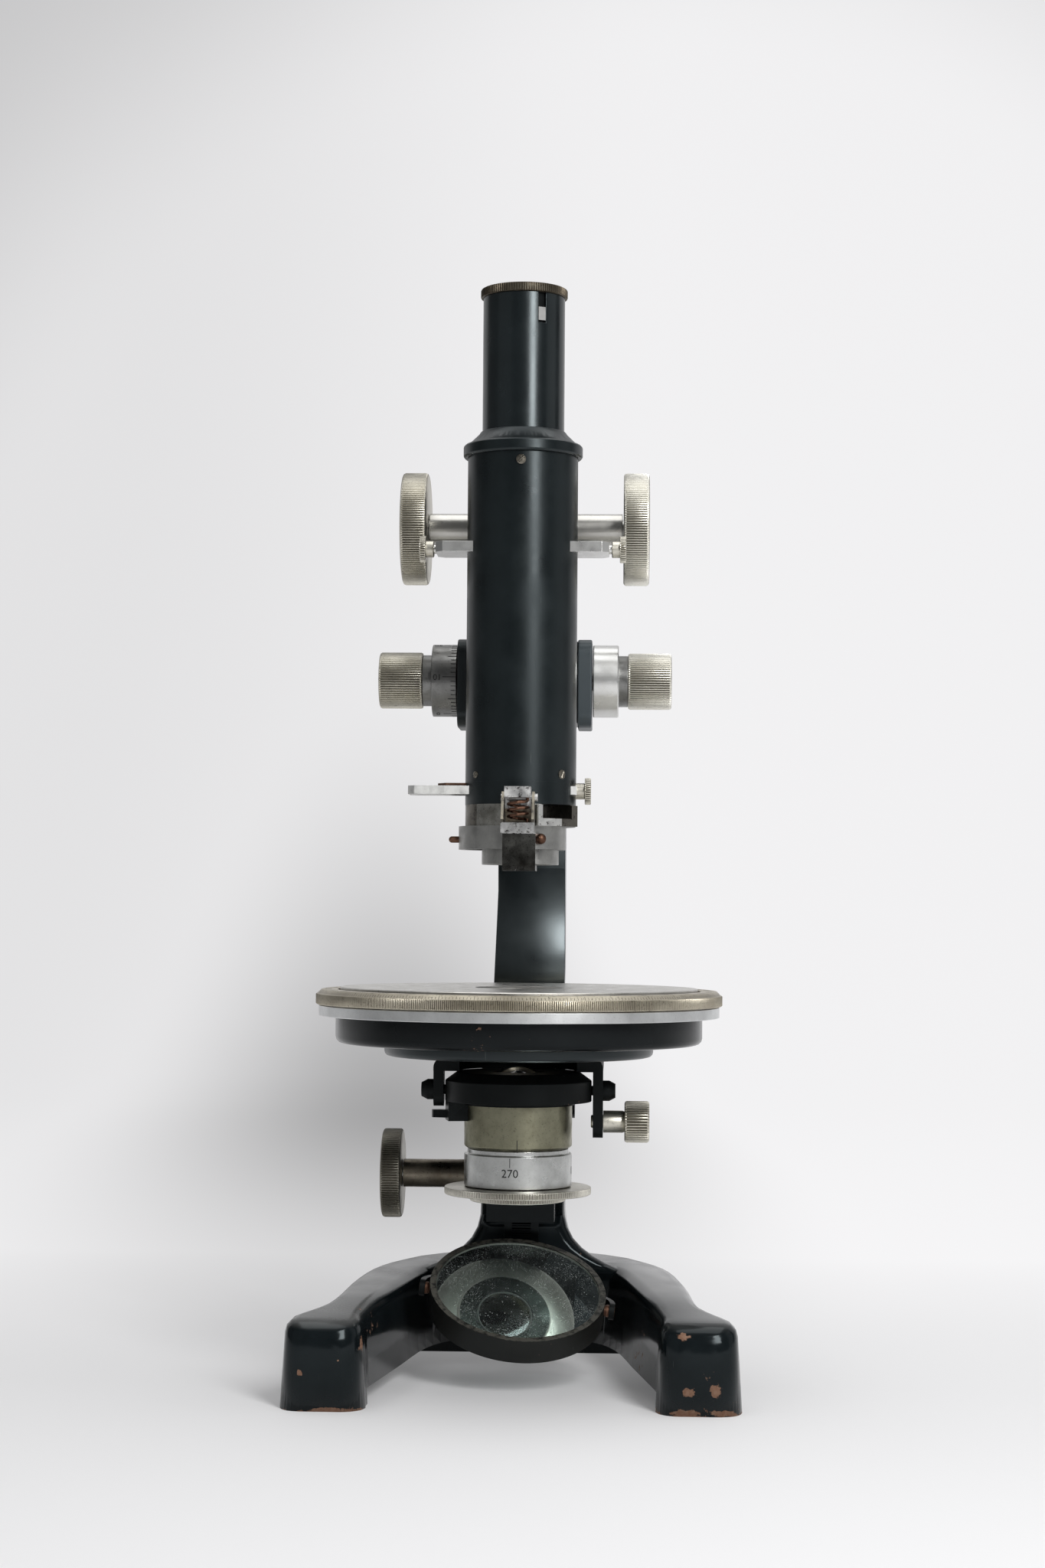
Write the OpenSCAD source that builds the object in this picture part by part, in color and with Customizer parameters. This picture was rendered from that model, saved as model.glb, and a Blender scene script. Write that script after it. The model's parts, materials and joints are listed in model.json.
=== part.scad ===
// Polarizing microscope on a horseshoe foot, with inclining limb, rotating stage and crossed polarizers.
// Every module draws its piece around the optical axis, with z measured up from the table in millimetres.

/* [Foot and pillar] */
// Width of the horseshoe foot over both toes
foot_w = 134; // [130:1:140]
// Distance of the toe tips in front of the optical axis
toe_y = 55; // [53:1:58]
// Distance of the heel behind the optical axis
heel_y = 87; // [84:1:90]
// Gap between the toes at the table
toe_gap = 83.6; // [81:0.2:86]
// Height of a toe
toe_h = 26; // [25:0.2:29]
// Height of the arch between toe pads and heel
arch_h = 4.5; // [2:0.5:6]
// Width and depth of the pillar
pillar_w = 27; // [26:0.5:29]
// Height of the inclination axis above the table
pivot_z = 84; // [82:0.5:85]
// Distance of the inclination axis behind the optical axis
pivot_y = 56; // [55:0.5:57]
// Radius of the inclination axle
axle_r = 5; // [4:0.5:6]

/* [Limb] */
// Width of the limb where it leaves the stage
limb_w = 24; // [22:0.5:26]
// Distance of the limb's front face behind the optical axis
limb_y = 63.4; // [63.2:0.1:65]
// Thickness of the limb from front to back
limb_t = 15.6; // [14:0.2:17]

/* [Stage] */
// Height of the specimen surface above the table
stage_z = 120.4; // [119:0.2:122]
// Radius of the knurled rim of the stage
stage_r = 62.4; // [60:0.2:62.6]
// Radius of the raised specimen disc
stage_top_r = 55; // [52:0.5:57]
// Radius of the hole in the specimen disc
stage_hole_r = 12.1; // [10:0.1:14]
// Number of ribs on the knurled rim
stage_ribs = 120; // [60:10:160]

/* [Body tube] */
// Outside radius of the body tube
tube_r = 17.1; // [16.8:0.1:17.4]
// Wall of the body tube
tube_wall = 1.6; // [1.2:0.1:2]
// Height of the body tube's lower end above the table
tube_z = 183.3; // [182:0.1:185]
// Length of the body tube
tube_len = 100.7; // [98:0.5:104]
// Outside radius of the eyepiece tube
draw_r = 12.7; // [12.4:0.1:13]
// Bore radius of the eyepiece tube
draw_bore = 11.6; // [11.4:0.05:11.7]
// Length of the eyepiece tube above the body tube
draw_len = 50; // [46:1:56]
// Radius of the knurled eyepiece rim
rim_r = 13.5; // [13.2:0.1:14.2]

/* [Coarse focus] */
// Distance of the coarse pinion behind the optical axis
coarse_y = 33; // [32.8:0.1:33.4]
// Height of the coarse pinion above the table
coarse_z = 266.5; // [265:0.5:268]
// Gear module of the coarse rack and pinion
coarse_module = 0.7; // [0.68:0.01:0.72]
// Teeth of the coarse pinion
coarse_teeth = 17; // [16:1:18]
// Radius of the coarse knobs
coarse_knob_r = 18; // [16:0.5:19]
// Ribs on each coarse knob
coarse_ribs = 90; // [40:10:120]

/* [Fine focus] */
// Distance of the fine focus shaft behind the optical axis
fine_y = 38; // [37:0.5:39]
// Height of the fine focus shaft above the table
fine_z = 218; // [217:0.5:219]
// Radius of the graduated drum
drum_r = 11.6; // [11:0.1:12.4]
// Radius of the fine focus knobs
fine_knob_r = 9.05; // [8.5:0.05:10]

/* [Substage] */
// Radius of the black condenser ring
condenser_r = 22.5; // [21:0.25:22.6]
// Radius of the condenser sleeve
sleeve_r = 16.55; // [16:0.05:17]
// Distance of the substage pinion behind the optical axis
sub_y = 31; // [30.8:0.1:31.5]
// Height of the substage pinion above the table
sub_z = 60.4; // [60:0.2:62]
// Gear module of the substage rack and pinion
sub_module = 0.5; // [0.48:0.01:0.52]
// Teeth of the substage pinion
sub_teeth = 16; // [15:1:17]
// Radius of the substage knob
sub_knob_r = 14; // [12:0.5:16]

/* [Mirror] */
// Radius of the mirror's frame
mirror_r = 27; // [25:0.1:27]
// Thickness of the mirror's frame
mirror_t = 8; // [7:0.25:8.25]
// Height of the mirror's centre above the table
mirror_z = 25.1; // [24.4:0.1:28]
// Lean of the mirror's face back from level
mirror_lean = 26.5; // [15:1:40]
// Roll of the mirror's fork to the right
mirror_roll = 6.6; // [0:0.2:10]

/* [Fits] */
// Radial clearance of a running fit
run_gap = 0.05; // [0.02:0.01:0.08]
// Clearance between pieces that pass each other
pass_gap = 0.3; // [0.2:0.05:0.4]
// Play at each flank of a rack
flank_gap = 0.06; // [0.04:0.01:0.1]

/* [Hidden] */
$fn = 64;
eps = 0.01;
// The part's origin is at the middle of its base
axis_y = (stage_r - heel_y) / 2;
toe_w = (foot_w - toe_gap) / 2;

stage_plate_t = 3.4;
dial_h = 4.6;
dial_z = stage_z - 5.3;
ring_h = 3.2;
ring_z = dial_z - 0.2 - ring_h;
drum_h = 8.3;
drum_z = ring_z - drum_h;
bracket_h = 3.9;
bracket_z = drum_z - bracket_h;
stage_drum_r = stage_r - 6.1;
bracket_r = stage_r - 21.1;
hub_r = 20;

cheek_r = pillar_w / 2;
lug_w = 16.6;
rail_front = sub_y + sub_module * sub_teeth / 2;
rail_back = rail_front + 6;
limb_back = limb_y + limb_t;

shoulder_h = 8.1;
tube_top = tube_z + tube_len;
draw_top = tube_top + draw_len;
saddle_y = 20.5;
tongue_y = saddle_y + 4.7;
tongue_w = 18;
neck_w = 12.4;
coarse_pitch_r = coarse_module * coarse_teeth / 2;
sub_pitch_r = sub_module * sub_teeth / 2;

carriage_w = 28;
carriage_z = coarse_z - 30.5;
carriage_top = coarse_z + 17.5;
carriage_front = saddle_y + pass_gap;
column_y = 52;
guide_y = 46;

box_w = 34;
box_z = fine_z - 14;
box_top = fine_z + 12;
box_front = coarse_y - coarse_pitch_r + 1.3;
cheek_w = box_w + 9;

bertrand_z = tube_z + 70.9;
bar_h = 3.2;
bar_w = 16.6;
analyzer_h = 6.9;
analyzer_z = tube_z - analyzer_h;
slider_z = analyzer_z + 3.2;
slider_h = 2.6;
slider_w = 14;
comp_h = 6.6;
comp_z = analyzer_z - comp_h;
comp_r = tube_r - 0.1;
clutch_h = 7.1;
clutch_z = comp_z - clutch_h;
clutch_x = -2.5;
clutch_r = 16.5;
socket_r = 11.85;
socket_bore = 10;
socket_z = clutch_z - 4.6;
clamp_x = 0;
clamp_pivot_y = -tube_r - 2.1;
clamp_pivot_z = tube_z - 5.1;
clamp_pin_r = 1.2;
lug_half = 3.95;
cap_z = tube_z - 5.4;
cap_h = 3.3;
ledge_z = cap_z - 10.65;
ledge_t = 3.1;
spring_y = -tube_r - 6.8;
spring_r = 2.9;
wire_r = 0.5;
spring_turns = 3;

sleeve_top = bracket_z - 13.8;
condenser_h = 6.3;
condenser_z = sleeve_top;
condenser_top = condenser_z + 9;
sleeve_z = sleeve_top - 14.3;
sleeve_bore = 14;
yoke_z = condenser_top + 0.1;
yoke_h = 4.1;
yoke_half = 26;
leg_t = 3.1;
pivot_screw_z = condenser_z + 3.3;
clamp_z = condenser_z - 6.1;
scale_top = sleeve_z - 1.6;
scale_h = 9.8;
scale_z = scale_top - scale_h;
scale_r = sleeve_r - 0.05;
rim2_r = condenser_r;

fork_r = mirror_r + 1.4;
fork_t = 1.6;
fork_h = 5;

// Cylinder along x from x0 to x1
module x_rod(r, x0, x1, y, z)
  translate([x0, y, z])
    rotate([0, 90, 0])
      cylinder(r = r, h = x1 - x0);

// Cylinder along y from y0 to y1
module y_rod(r, y0, y1, x, z)
  translate([x, y0, z])
    rotate([-90, 0, 0])
      cylinder(r = r, h = y1 - y0);

// Upright ring round the optical axis
module ring(r_out, r_in, z0, z1)
  difference() {
    translate([0, 0, z0])
      cylinder(r = r_out, h = z1 - z0);
    translate([0, 0, z0 - 1])
      cylinder(r = r_in, h = z1 - z0 + 2);
  }

// Box from its lowest corner to its highest corner
module box(low, high)
  translate(low)
    cube(high - low);

// Outline in y and z, drawn as a slab between x0 and x1
module side_slab(x0, x1)
  translate([x0, 0, 0])
    rotate([90, 0, 90])
      linear_extrude(x1 - x0)
        children();

// Plan of a knurled disc with straight ribs
function knurl_plan(r, ribs, depth) = [
  for (i = [0 : 2 * ribs - 1])
    let (a = 180 * i / ribs, q = i % 2 == 0 ? r : r - depth)
      [q * cos(a), q * sin(a)]
];

module knurl(r, ribs, depth, h)
  linear_extrude(h)
    polygon(knurl_plan(r, ribs, depth));

// Knurled disc on an axis along x
module x_knurl(r, ribs, depth, x0, x1, y, z)
  translate([x0, y, z])
    rotate([0, 90, 0])
      knurl(r, ribs, depth, x1 - x0);

// Rectangle with rounded corners
module rounded(w, d, r)
  hull()
    for (x = [-1, 1], y = [-1, 1])
      translate([x * (w / 2 - r), y * (d / 2 - r)])
        circle(r = r, $fn = 32);

// Teeth share these proportions of the module
addendum = 0.9;
dedendum = 1.2;
pressure = 20;

function involute_angle(base, r) =
  let (a = acos(min(1, base / r)))
    tan(a) * 180 / PI - a;

// Outline of a spur pinion with its first tooth along +x
function pinion_plan(m, teeth) =
  let (
    pitch = m * teeth / 2,
    base = pitch * cos(pressure),
    tip = pitch + addendum * m,
    root = pitch - dedendum * m,
    half = 90 / teeth,
    radii = [for (k = [0 : 3]) max(base, root) + (tip - max(base, root)) * k / 3],
    flank = [for (r = radii) half + involute_angle(base, pitch) - involute_angle(base, r)]
  ) [
    for (i = [0 : teeth - 1])
      let (c = 360 * i / teeth)
        for (p = concat(
          [[root, -flank[0] - 0.5]],
          [for (k = [0 : 3]) [radii[k], -flank[k]]],
          [for (k = [3 : -1 : 0]) [radii[k], flank[k]]],
          [[root, flank[0] + 0.5]]
        ))
          [p[0] * cos(c + p[1]), p[0] * sin(c + p[1])]
  ];

// Rack outline: x runs along the rack, y points at the pinion, the pitch line is y = 0
function rack_plan(m, low, high, mid, back) =
  let (
    pitch = PI * m,
    gap = pitch / 4 + flank_gap,
    at_tip = gap + addendum * m * tan(pressure),
    at_root = gap - dedendum * m * tan(pressure),
    first = ceil((low + at_tip - mid) / pitch),
    last = floor((high - at_tip - mid) / pitch)
  ) concat(
    [[low, -back], [low, addendum * m]],
    [
      for (k = [first : last])
        for (p = [[-at_tip, addendum], [-at_root, -dedendum], [at_root, -dedendum], [at_tip, addendum]])
          [mid + k * pitch + p[0], p[1] * m]
    ],
    [[high, addendum * m], [high, -back]]
  );

// Point on a cubic curve with four control points
function bezier(p, t) =
  pow(1 - t, 3) * p[0] + 3 * t * pow(1 - t, 2) * p[1] + 3 * t * t * (1 - t) * p[2] + pow(t, 3) * p[3];

function curve(p, n) = [for (i = [0 : n]) bezier(p, i / n)];

// Smooth curve through a list of stations
function catmull(p, i, t) =
  let (
    n = len(p) - 1,
    a = p[max(0, i - 1)],
    b = p[i],
    c = p[min(n, i + 1)],
    d = p[min(n, i + 2)]
  )
    0.5 * (2 * b + (c - a) * t + (2 * a - 5 * b + 4 * c - d) * t * t + (3 * b - a - 3 * c + d) * pow(t, 3));

// Solid through a list of rings that all have the same number of points
module loft(rings) {
  n = len(rings[0]);
  last = len(rings) - 1;
  polyhedron(
    points = [for (r = rings, p = r) p],
    faces = concat(
      [[for (i = [0 : n - 1]) i]],
      [
        for (k = [0 : last - 1], i = [0 : n - 1])
          let (j = (i + 1) % n)
            each [[k * n + j, k * n + i, (k + 1) * n + i], [k * n + j, (k + 1) * n + i, (k + 1) * n + j]]
      ],
      [[for (i = [n - 1 : -1 : 0]) last * n + i]]
    )
  );
}

// Stations of the right arm of the horseshoe, from the toe to the heel: x, y, half width, height
heel_half = 16;
function arm(inset, y, share, rise) =
  let (half = share * toe_w) [toe_gap / 2 - inset + half, y, half, toe_h + rise];
arm_stations = [
  arm(-6.6, -toe_y, 0.238, -5.4),
  arm(-4, 0.8 - toe_y, 0.341, -3.6),
  arm(-2, 2.4 - toe_y, 0.421, -1.8),
  arm(-0.6, 5 - toe_y, 0.476, -0.6),
  arm(0.1, 10 - toe_y, 0.496, 0),
  arm(0.4, 17 - toe_y, 0.42, 0.8),
  arm(1.4, 25 - toe_y, 0.352, 1.8),
  arm(3.5, 38 - toe_y, 0.345, 2.8),
  arm(6.8, 4, 0.384, 3.2),
  arm(10.3, 28, 0.408, 3.4),
  arm(14.3, 44, 0.424, 3.6),
  arm(20.5, 56, 0.448, 3.8),
  arm(31, 65, 0.504, 4.2),
  [0, heel_y - heel_half, heel_half, toe_h + 4.8]
];
foot_stations = concat(
  arm_stations,
  [for (i = [len(arm_stations) - 2 : -1 : 0]) let (s = arm_stations[i]) [-s[0], s[1], s[2], s[3]]]
);
foot_steps = 2;
foot_line = [
  for (i = [0 : len(foot_stations) - 2], k = [0 : foot_steps - 1]) catmull(foot_stations, i, k / foot_steps),
  foot_stations[len(foot_stations) - 1]
];

// Cross-section of an arm: draft on the sides and a rounded top
arm_round = 4;
arm_draft = 1.3;
function arm_section(half, h) =
  let (top = half - arm_draft, r = min(arm_round, top - 0.5))
    concat(
      [[-half, 0]],
      [for (a = [180 : -30 : 90]) [-top + r + r * cos(a), h - r + r * sin(a)]],
      [for (a = [90 : -30 : 0]) [top - r + r * cos(a), h - r + r * sin(a)]],
      [[half, 0]]
    );

function foot_ring(i) =
  let (
    s = foot_line[i],
    n = len(foot_line) - 1,
    a = foot_line[max(0, i - 1)],
    b = foot_line[min(n, i + 1)],
    along = i == 0 || i == n ? [0, i == 0 ? 1 : -1] : [b[0] - a[0], b[1] - a[1]],
    side = [along[1], -along[0]] / norm(along)
  ) [for (p = arm_section(s[2], s[3])) [s[0] + side[0] * p[0], s[1] + side[1] * p[0], p[1]]];

// Flare that joins the pillar to the arms: the power curve is the casting's hollow sweep
flare_top = 52;
flare_low = 20;
flare_power = 3.3;
flare_reach = 15;
flare_drop = 22;
function flare_half(z) = cheek_r - 0.1 + flare_reach * pow(max(0, flare_top - z) / flare_drop, flare_power);
flare_corner = 4;
function flare_ring(z) =
  let (
    half = min(flare_half(z), foot_w / 4),
    spread = half - cheek_r,
    front = pivot_y - cheek_r + 0.1 + max(0, 30 - z) * 0.3,
    back = min(pivot_y + flare_half(z), heel_y - 7),
    corners = [
      [half - 0.55 * spread - flare_corner, back - flare_corner, 0],
      [0.55 * spread + flare_corner - half, back - flare_corner, 90],
      [flare_corner - half, front + flare_corner, 180],
      [half - flare_corner, front + flare_corner, 270]
    ]
  ) [
    for (q = corners, a = [0, 30, 60, 90])
      [q[0] + flare_corner * cos(q[2] + a), q[1] + flare_corner * sin(q[2] + a), z]
  ];
flare_levels = [flare_low, 25, 28, 30.5, 33, 35.5, 38.5, 42, 46, flare_top];

// Cast foot: horseshoe, pillar and the fork that holds the limb
module foot()
  color("#14181a")
    difference() {
      union() {
        loft([for (i = [0 : len(foot_line) - 1]) foot_ring(i)]);
        loft([for (z = flare_levels) flare_ring(z)]);
        intersection() {
          translate([0, pivot_y, flare_top - 6])
            linear_extrude(pivot_z + cheek_r - flare_top + 6)
              rounded(pillar_w, pillar_w, flare_corner);
          union() {
            box([-pillar_w, pivot_y - pillar_w, 0], [pillar_w, pivot_y + pillar_w, pivot_z]);
            x_rod(cheek_r, -pillar_w, pillar_w, pivot_y, pivot_z);
          }
        }
      }
      // Slot between the fork's cheeks
      box(
        [-lug_w / 2 - pass_gap, pivot_y - 2 * cheek_r, pivot_z - cheek_r - 1],
        [lug_w / 2 + pass_gap, pivot_y + 2 * cheek_r, pivot_z + 2 * cheek_r]
      );
      x_rod(axle_r, -pillar_w, pillar_w, pivot_y, pivot_z);
      // Arch between the toe pads and the heel pad
      box([-foot_w, 14 - toe_y, -1], [foot_w, heel_y - heel_half - 14, arch_h]);
    }

// Axle of the inclination joint with a slotted nut at each end
nut_t = 3;
module pivot_axle()
  color("#2a2d2e")
    difference() {
      union() {
        x_rod(axle_r, -cheek_r - nut_t, cheek_r + nut_t, pivot_y, pivot_z);
        for (s = [0, 1])
          mirror([s, 0, 0])
            x_rod(axle_r + 2.6, cheek_r, cheek_r + nut_t, pivot_y, pivot_z);
      }
      for (s = [-1, 1])
        translate([s * (cheek_r + nut_t), pivot_y, pivot_z])
          cube([2.4, 4 * axle_r, 1.4], center = true);
    }

// Side outline of the limb, with a bowed back and a curve into the upright column
shelf_z = cheek_r + 1.2;
column_top = coarse_z + 8.5;
column_bend = fine_z - 20;
limb_clear = 0.7;
module limb_side()
  polygon(concat(
    [[bracket_r - 2.5, pivot_z + shelf_z]],
    curve(
      [
        [pivot_y + cheek_r, pivot_z + shelf_z],
        [limb_back + 3, pivot_z + shelf_z + 12],
        [limb_back + 3, stage_z + 34],
        [column_y + limb_t - 0.6, column_bend]
      ],
      16
    ),
    [
      for (a = [0 : 30 : 90])
        [column_y + limb_t - 6.6 + 6 * cos(a), column_top - 6 + 6 * sin(a)]
    ],
    [[column_y, column_top]],
    curve(
      [
        [column_y, column_bend],
        [column_y, column_bend - 24],
        [limb_y, stage_z + 48],
        [limb_y, stage_z + 4]
      ],
      16
    ),
    [
      [limb_y, ring_z - limb_clear],
      [stage_drum_r, ring_z - limb_clear],
      [stage_drum_r, drum_z],
      [bracket_r - 2.5, drum_z]
    ]
  ));

// Front outline of the limb: it tapers a little towards the top
limb_x = 1.7;
module limb_front()
  polygon([
    [-limb_w / 2, pivot_z],
    [limb_w / 2, pivot_z],
    [limb_w / 2 - 0.4 + 0.7 * limb_x, stage_z + 5],
    [limb_w / 2 - 0.95 + limb_x, stage_z + 30],
    [limb_w / 2 - 0.95 + limb_x, column_top + 1],
    [0.95 - limb_w / 2 + limb_x, column_top + 1],
    [0.95 - limb_w / 2 + limb_x, stage_z + 30],
    [0.4 - limb_w / 2 + 0.7 * limb_x, stage_z + 5]
  ]);

// Curved limb with its pivot lug and the dovetail that guides the fine focus
guide_w = 16;
guide_neck = 11;
guide_z = box_top + 2;
module limb()
  color("#14181a")
    difference() {
      union() {
        intersection() {
          side_slab(-limb_w, limb_w)
            limb_side();
          rotate([90, 0, 0])
            translate([0, 0, -2 * limb_back])
              linear_extrude(2 * limb_back)
                limb_front();
        }
        x_rod(cheek_r - pass_gap, -lug_w / 2, lug_w / 2, pivot_y, pivot_z);
        box([-lug_w / 2, rail_back, pivot_z - 10], [lug_w / 2, pivot_y, pivot_z + shelf_z]);
        box([-lug_w / 2, pivot_y, pivot_z], [lug_w / 2, pivot_y + cheek_r - pass_gap, pivot_z + shelf_z + 2]);
        translate([0, 0, guide_z])
          linear_extrude(column_top - guide_z - 4)
            polygon([
              [-guide_neck / 2, column_y + 1],
              [-guide_neck / 2, column_y],
              [-guide_w / 2, guide_y],
              [guide_w / 2, guide_y],
              [guide_neck / 2, column_y],
              [guide_neck / 2, column_y + 1]
            ]);
      }
      x_rod(axle_r + run_gap, -lug_w, lug_w, pivot_y, pivot_z);
      // Seats of the stage's cast drum and of the disc below it
      translate([0, 0, drum_z])
        cylinder(r = stage_drum_r, h = drum_h + 1);
      translate([0, 0, bracket_z])
        cylinder(r = bracket_r, h = bracket_h + eps);
    }

// Gear box of the fine focus, cast in front of the limb's column
pin_r = 2.5;
shaft_r = 3;
module fine_housing()
  color("#14181a")
    difference() {
      box([-box_w / 2, box_front, box_z], [box_w / 2, column_y, box_top]);
      x_rod(shaft_r + run_gap, -box_w, box_w, fine_y, fine_z);
      translate([0, guide_y - 3, fine_z + shaft_r + 2])
        cylinder(r = pin_r + run_gap, h = box_top);
    }

// Flat side plates of the gear box
cover_corner = 5;
cover_front = box_front - 2.4;
cover_back = column_y - 0.85;
cover_low = box_z - 1.6;
cover_high = box_top + 0.8;
module fine_covers()
  color("#1b2123")
    difference() {
      for (s = [0, 1])
        mirror([s, 0, 0])
          translate([box_w / 2, (cover_front + cover_back) / 2, (cover_low + cover_high) / 2])
            rotate([90, 0, 90])
              linear_extrude((cheek_w - box_w) / 2)
                rounded(cover_back - cover_front, cover_high - cover_low, cover_corner);
      x_rod(shaft_r + run_gap, -cheek_w, cheek_w, fine_y, fine_z);
    }

// Shaft of the fine focus through the gear box
knob_gap = 0.3;
drum_in = cheek_w / 2 + knob_gap;
drum_len = 8.1;
neck_len = 3.1;
fine_knob_len = 14;
fine_end = drum_in + drum_len + neck_len + fine_knob_len;
module fine_shaft()
  color("#9a9890")
    x_rod(shaft_r, 2 - fine_end, fine_end - 2, fine_y, fine_z);

// Graduated drum on the left and its plain twin on the right
module fine_drums()
  color("#b4b4ae")
    difference() {
      for (s = [0, 1])
        mirror([s, 0, 0]) {
          x_rod(drum_r, drum_in, drum_in + drum_len, fine_y, fine_z);
          x_rod(fine_knob_r - 0.8, drum_in + drum_len, drum_in + drum_len + neck_len, fine_y, fine_z);
        }
      x_rod(shaft_r, -cheek_w, cheek_w, fine_y, fine_z);
    }

fine_ribs = 64;
module fine_knob(side)
  difference() {
    mirror([side, 0, 0])
      x_knurl(fine_knob_r, fine_ribs, 0.35, fine_end - fine_knob_len, fine_end, fine_y, fine_z);
    x_rod(shaft_r, 2 - fine_end, fine_end - 2, fine_y, fine_z);
  }

module fine_knob_left()
  color("#a8a698")
    fine_knob(1);

module fine_knob_right()
  color("#a8a698")
    fine_knob(0);

// Block that the fine focus lifts: dovetail groove for the tube in front, groove for the limb behind
rack_w = 6;
chamber_r = coarse_pitch_r + addendum * coarse_module + pass_gap;
module focus_carriage()
  color("#16191b")
    difference() {
      union() {
        box(
          [-carriage_w / 2, carriage_front, carriage_z],
          [carriage_w / 2, column_y - pass_gap, carriage_top]
        );
        translate([0, guide_y - 3, fine_z + shaft_r + 4])
          cylinder(r = pin_r, h = carriage_z - fine_z - shaft_r - 4 + eps);
      }
      translate([0, 0, carriage_z - 1])
        linear_extrude(carriage_top - carriage_z + 2) {
          polygon([
            [-neck_w / 2 - run_gap, saddle_y - 1],
            [-neck_w / 2 - run_gap, saddle_y],
            [-tongue_w / 2 - run_gap, tongue_y + run_gap],
            [tongue_w / 2 + run_gap, tongue_y + run_gap],
            [neck_w / 2 + run_gap, saddle_y],
            [neck_w / 2 + run_gap, saddle_y - 1]
          ]);
          polygon([
            [-guide_neck / 2 - run_gap, column_y + 1],
            [-guide_neck / 2 - run_gap, column_y],
            [-guide_w / 2 - run_gap, guide_y - run_gap],
            [guide_w / 2 + run_gap, guide_y - run_gap],
            [guide_neck / 2 + run_gap, column_y],
            [guide_neck / 2 + run_gap, column_y + 1]
          ]);
        }
      // Room for the rack's teeth
      box(
        [-rack_w / 2 - pass_gap, tongue_y, carriage_z - 1],
        [rack_w / 2 + pass_gap, coarse_y - coarse_pitch_r + addendum * coarse_module + pass_gap, carriage_top + 1]
      );
      x_rod(chamber_r, -carriage_w, carriage_w, coarse_y, coarse_z);
    }

// Bearing sleeves of the coarse pinion
sleeve_out = 5;
coarse_knob_in = 31.3;
coarse_knob_t = 8.3;
pinion_half = 3.2;
module coarse_sleeves()
  color("#b9b9b2")
    difference() {
      for (s = [0, 1])
        mirror([s, 0, 0]) {
          x_rod(chamber_r, pinion_half + pass_gap, carriage_w / 2, coarse_y, coarse_z);
          x_rod(sleeve_out, carriage_w / 2, coarse_knob_in - knob_gap, coarse_y, coarse_z);
        }
      x_rod(shaft_r + run_gap, -coarse_knob_in, coarse_knob_in, coarse_y, coarse_z);
    }

// Coarse pinion, cut on its shaft, with one tooth pointing at the rack
module coarse_pinion()
  color("#8d8b84")
    union() {
      x_rod(shaft_r, 2 - coarse_knob_in - coarse_knob_t, coarse_knob_in + coarse_knob_t - 2, coarse_y, coarse_z);
      translate([-pinion_half, coarse_y, coarse_z])
        rotate([0, 90, 0])
          linear_extrude(2 * pinion_half)
            rotate(-90)
              polygon(pinion_plan(coarse_module, coarse_teeth));
    }

module coarse_knob(side)
  difference() {
    mirror([side, 0, 0])
      x_knurl(
        coarse_knob_r, coarse_ribs, 0.45, coarse_knob_in, coarse_knob_in + coarse_knob_t, coarse_y, coarse_z
      );
    x_rod(
      shaft_r, 2 - coarse_knob_in - coarse_knob_t, coarse_knob_in + coarse_knob_t - 2, coarse_y, coarse_z
    );
  }

module coarse_knob_left()
  color("#9c998b")
    coarse_knob(1);

module coarse_knob_right()
  color("#9c998b")
    coarse_knob(0);

// Black body tube with slots for the Bertrand bar
module body_tube()
  color("#14181a")
    difference() {
      ring(tube_r, tube_r - tube_wall, tube_z, tube_top);
      box(
        [-2 * tube_r, -bar_w / 2 - run_gap, bertrand_z - run_gap],
        [2 * tube_r, bar_w / 2 + run_gap, bertrand_z + bar_h + run_gap]
      );
    }

// Collar that carries the eyepiece tube, with a spigot inside the body tube
flange_r = 18.5;
module tube_shoulder()
  color("#14181a")
    rotate_extrude()
      polygon([
        [draw_r, tube_top - 5],
        [tube_r - tube_wall, tube_top - 5],
        [tube_r - tube_wall, tube_top],
        [flange_r - 0.5, tube_top],
        [flange_r, tube_top + 0.6],
        [flange_r, tube_top + 3.4],
        [flange_r - 0.5, tube_top + 3.9],
        [flange_r - 1.7, tube_top + 4.3],
        [draw_r + 1.1, tube_top + 7.2],
        [draw_r + 0.5, tube_top + shoulder_h],
        [draw_r, tube_top + shoulder_h]
      ]);

// Eyepiece tube with the locating notch at its mouth
notch_turn = 28;
notch_w = 2.4;
notch_h = 9.5;
module eyepiece_tube()
  color("#14181a")
    difference() {
      ring(draw_r, draw_bore, tube_top - 5, draw_top);
      rotate(notch_turn)
        box([-notch_w / 2, -draw_r - 1, draw_top - notch_h], [notch_w / 2, 0, draw_top + 1]);
    }

// Dovetail tongue and rack on the back of the body tube
rack_low = fine_z - 10;
module tube_slide()
  color("#77756d")
    union() {
      difference() {
        translate([0, 0, rack_low])
          linear_extrude(tube_top - rack_low - 1)
            polygon([
              [-neck_w / 2, tube_r - 4],
              [neck_w / 2, tube_r - 4],
              [neck_w / 2, saddle_y],
              [tongue_w / 2, tongue_y],
              [-tongue_w / 2, tongue_y],
              [-neck_w / 2, saddle_y]
            ]);
        translate([0, 0, rack_low - 1])
          cylinder(r = tube_r, h = tube_len);
      }
      side_slab(-rack_w / 2, rack_w / 2)
        polygon([
          for (p = rack_plan(
            coarse_module, rack_low, tube_top - 1, coarse_z, coarse_y - coarse_pitch_r - tongue_y + 0.5
          ))
            [coarse_y - coarse_pitch_r + p[1], p[0]]
        ]);
    }

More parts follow.
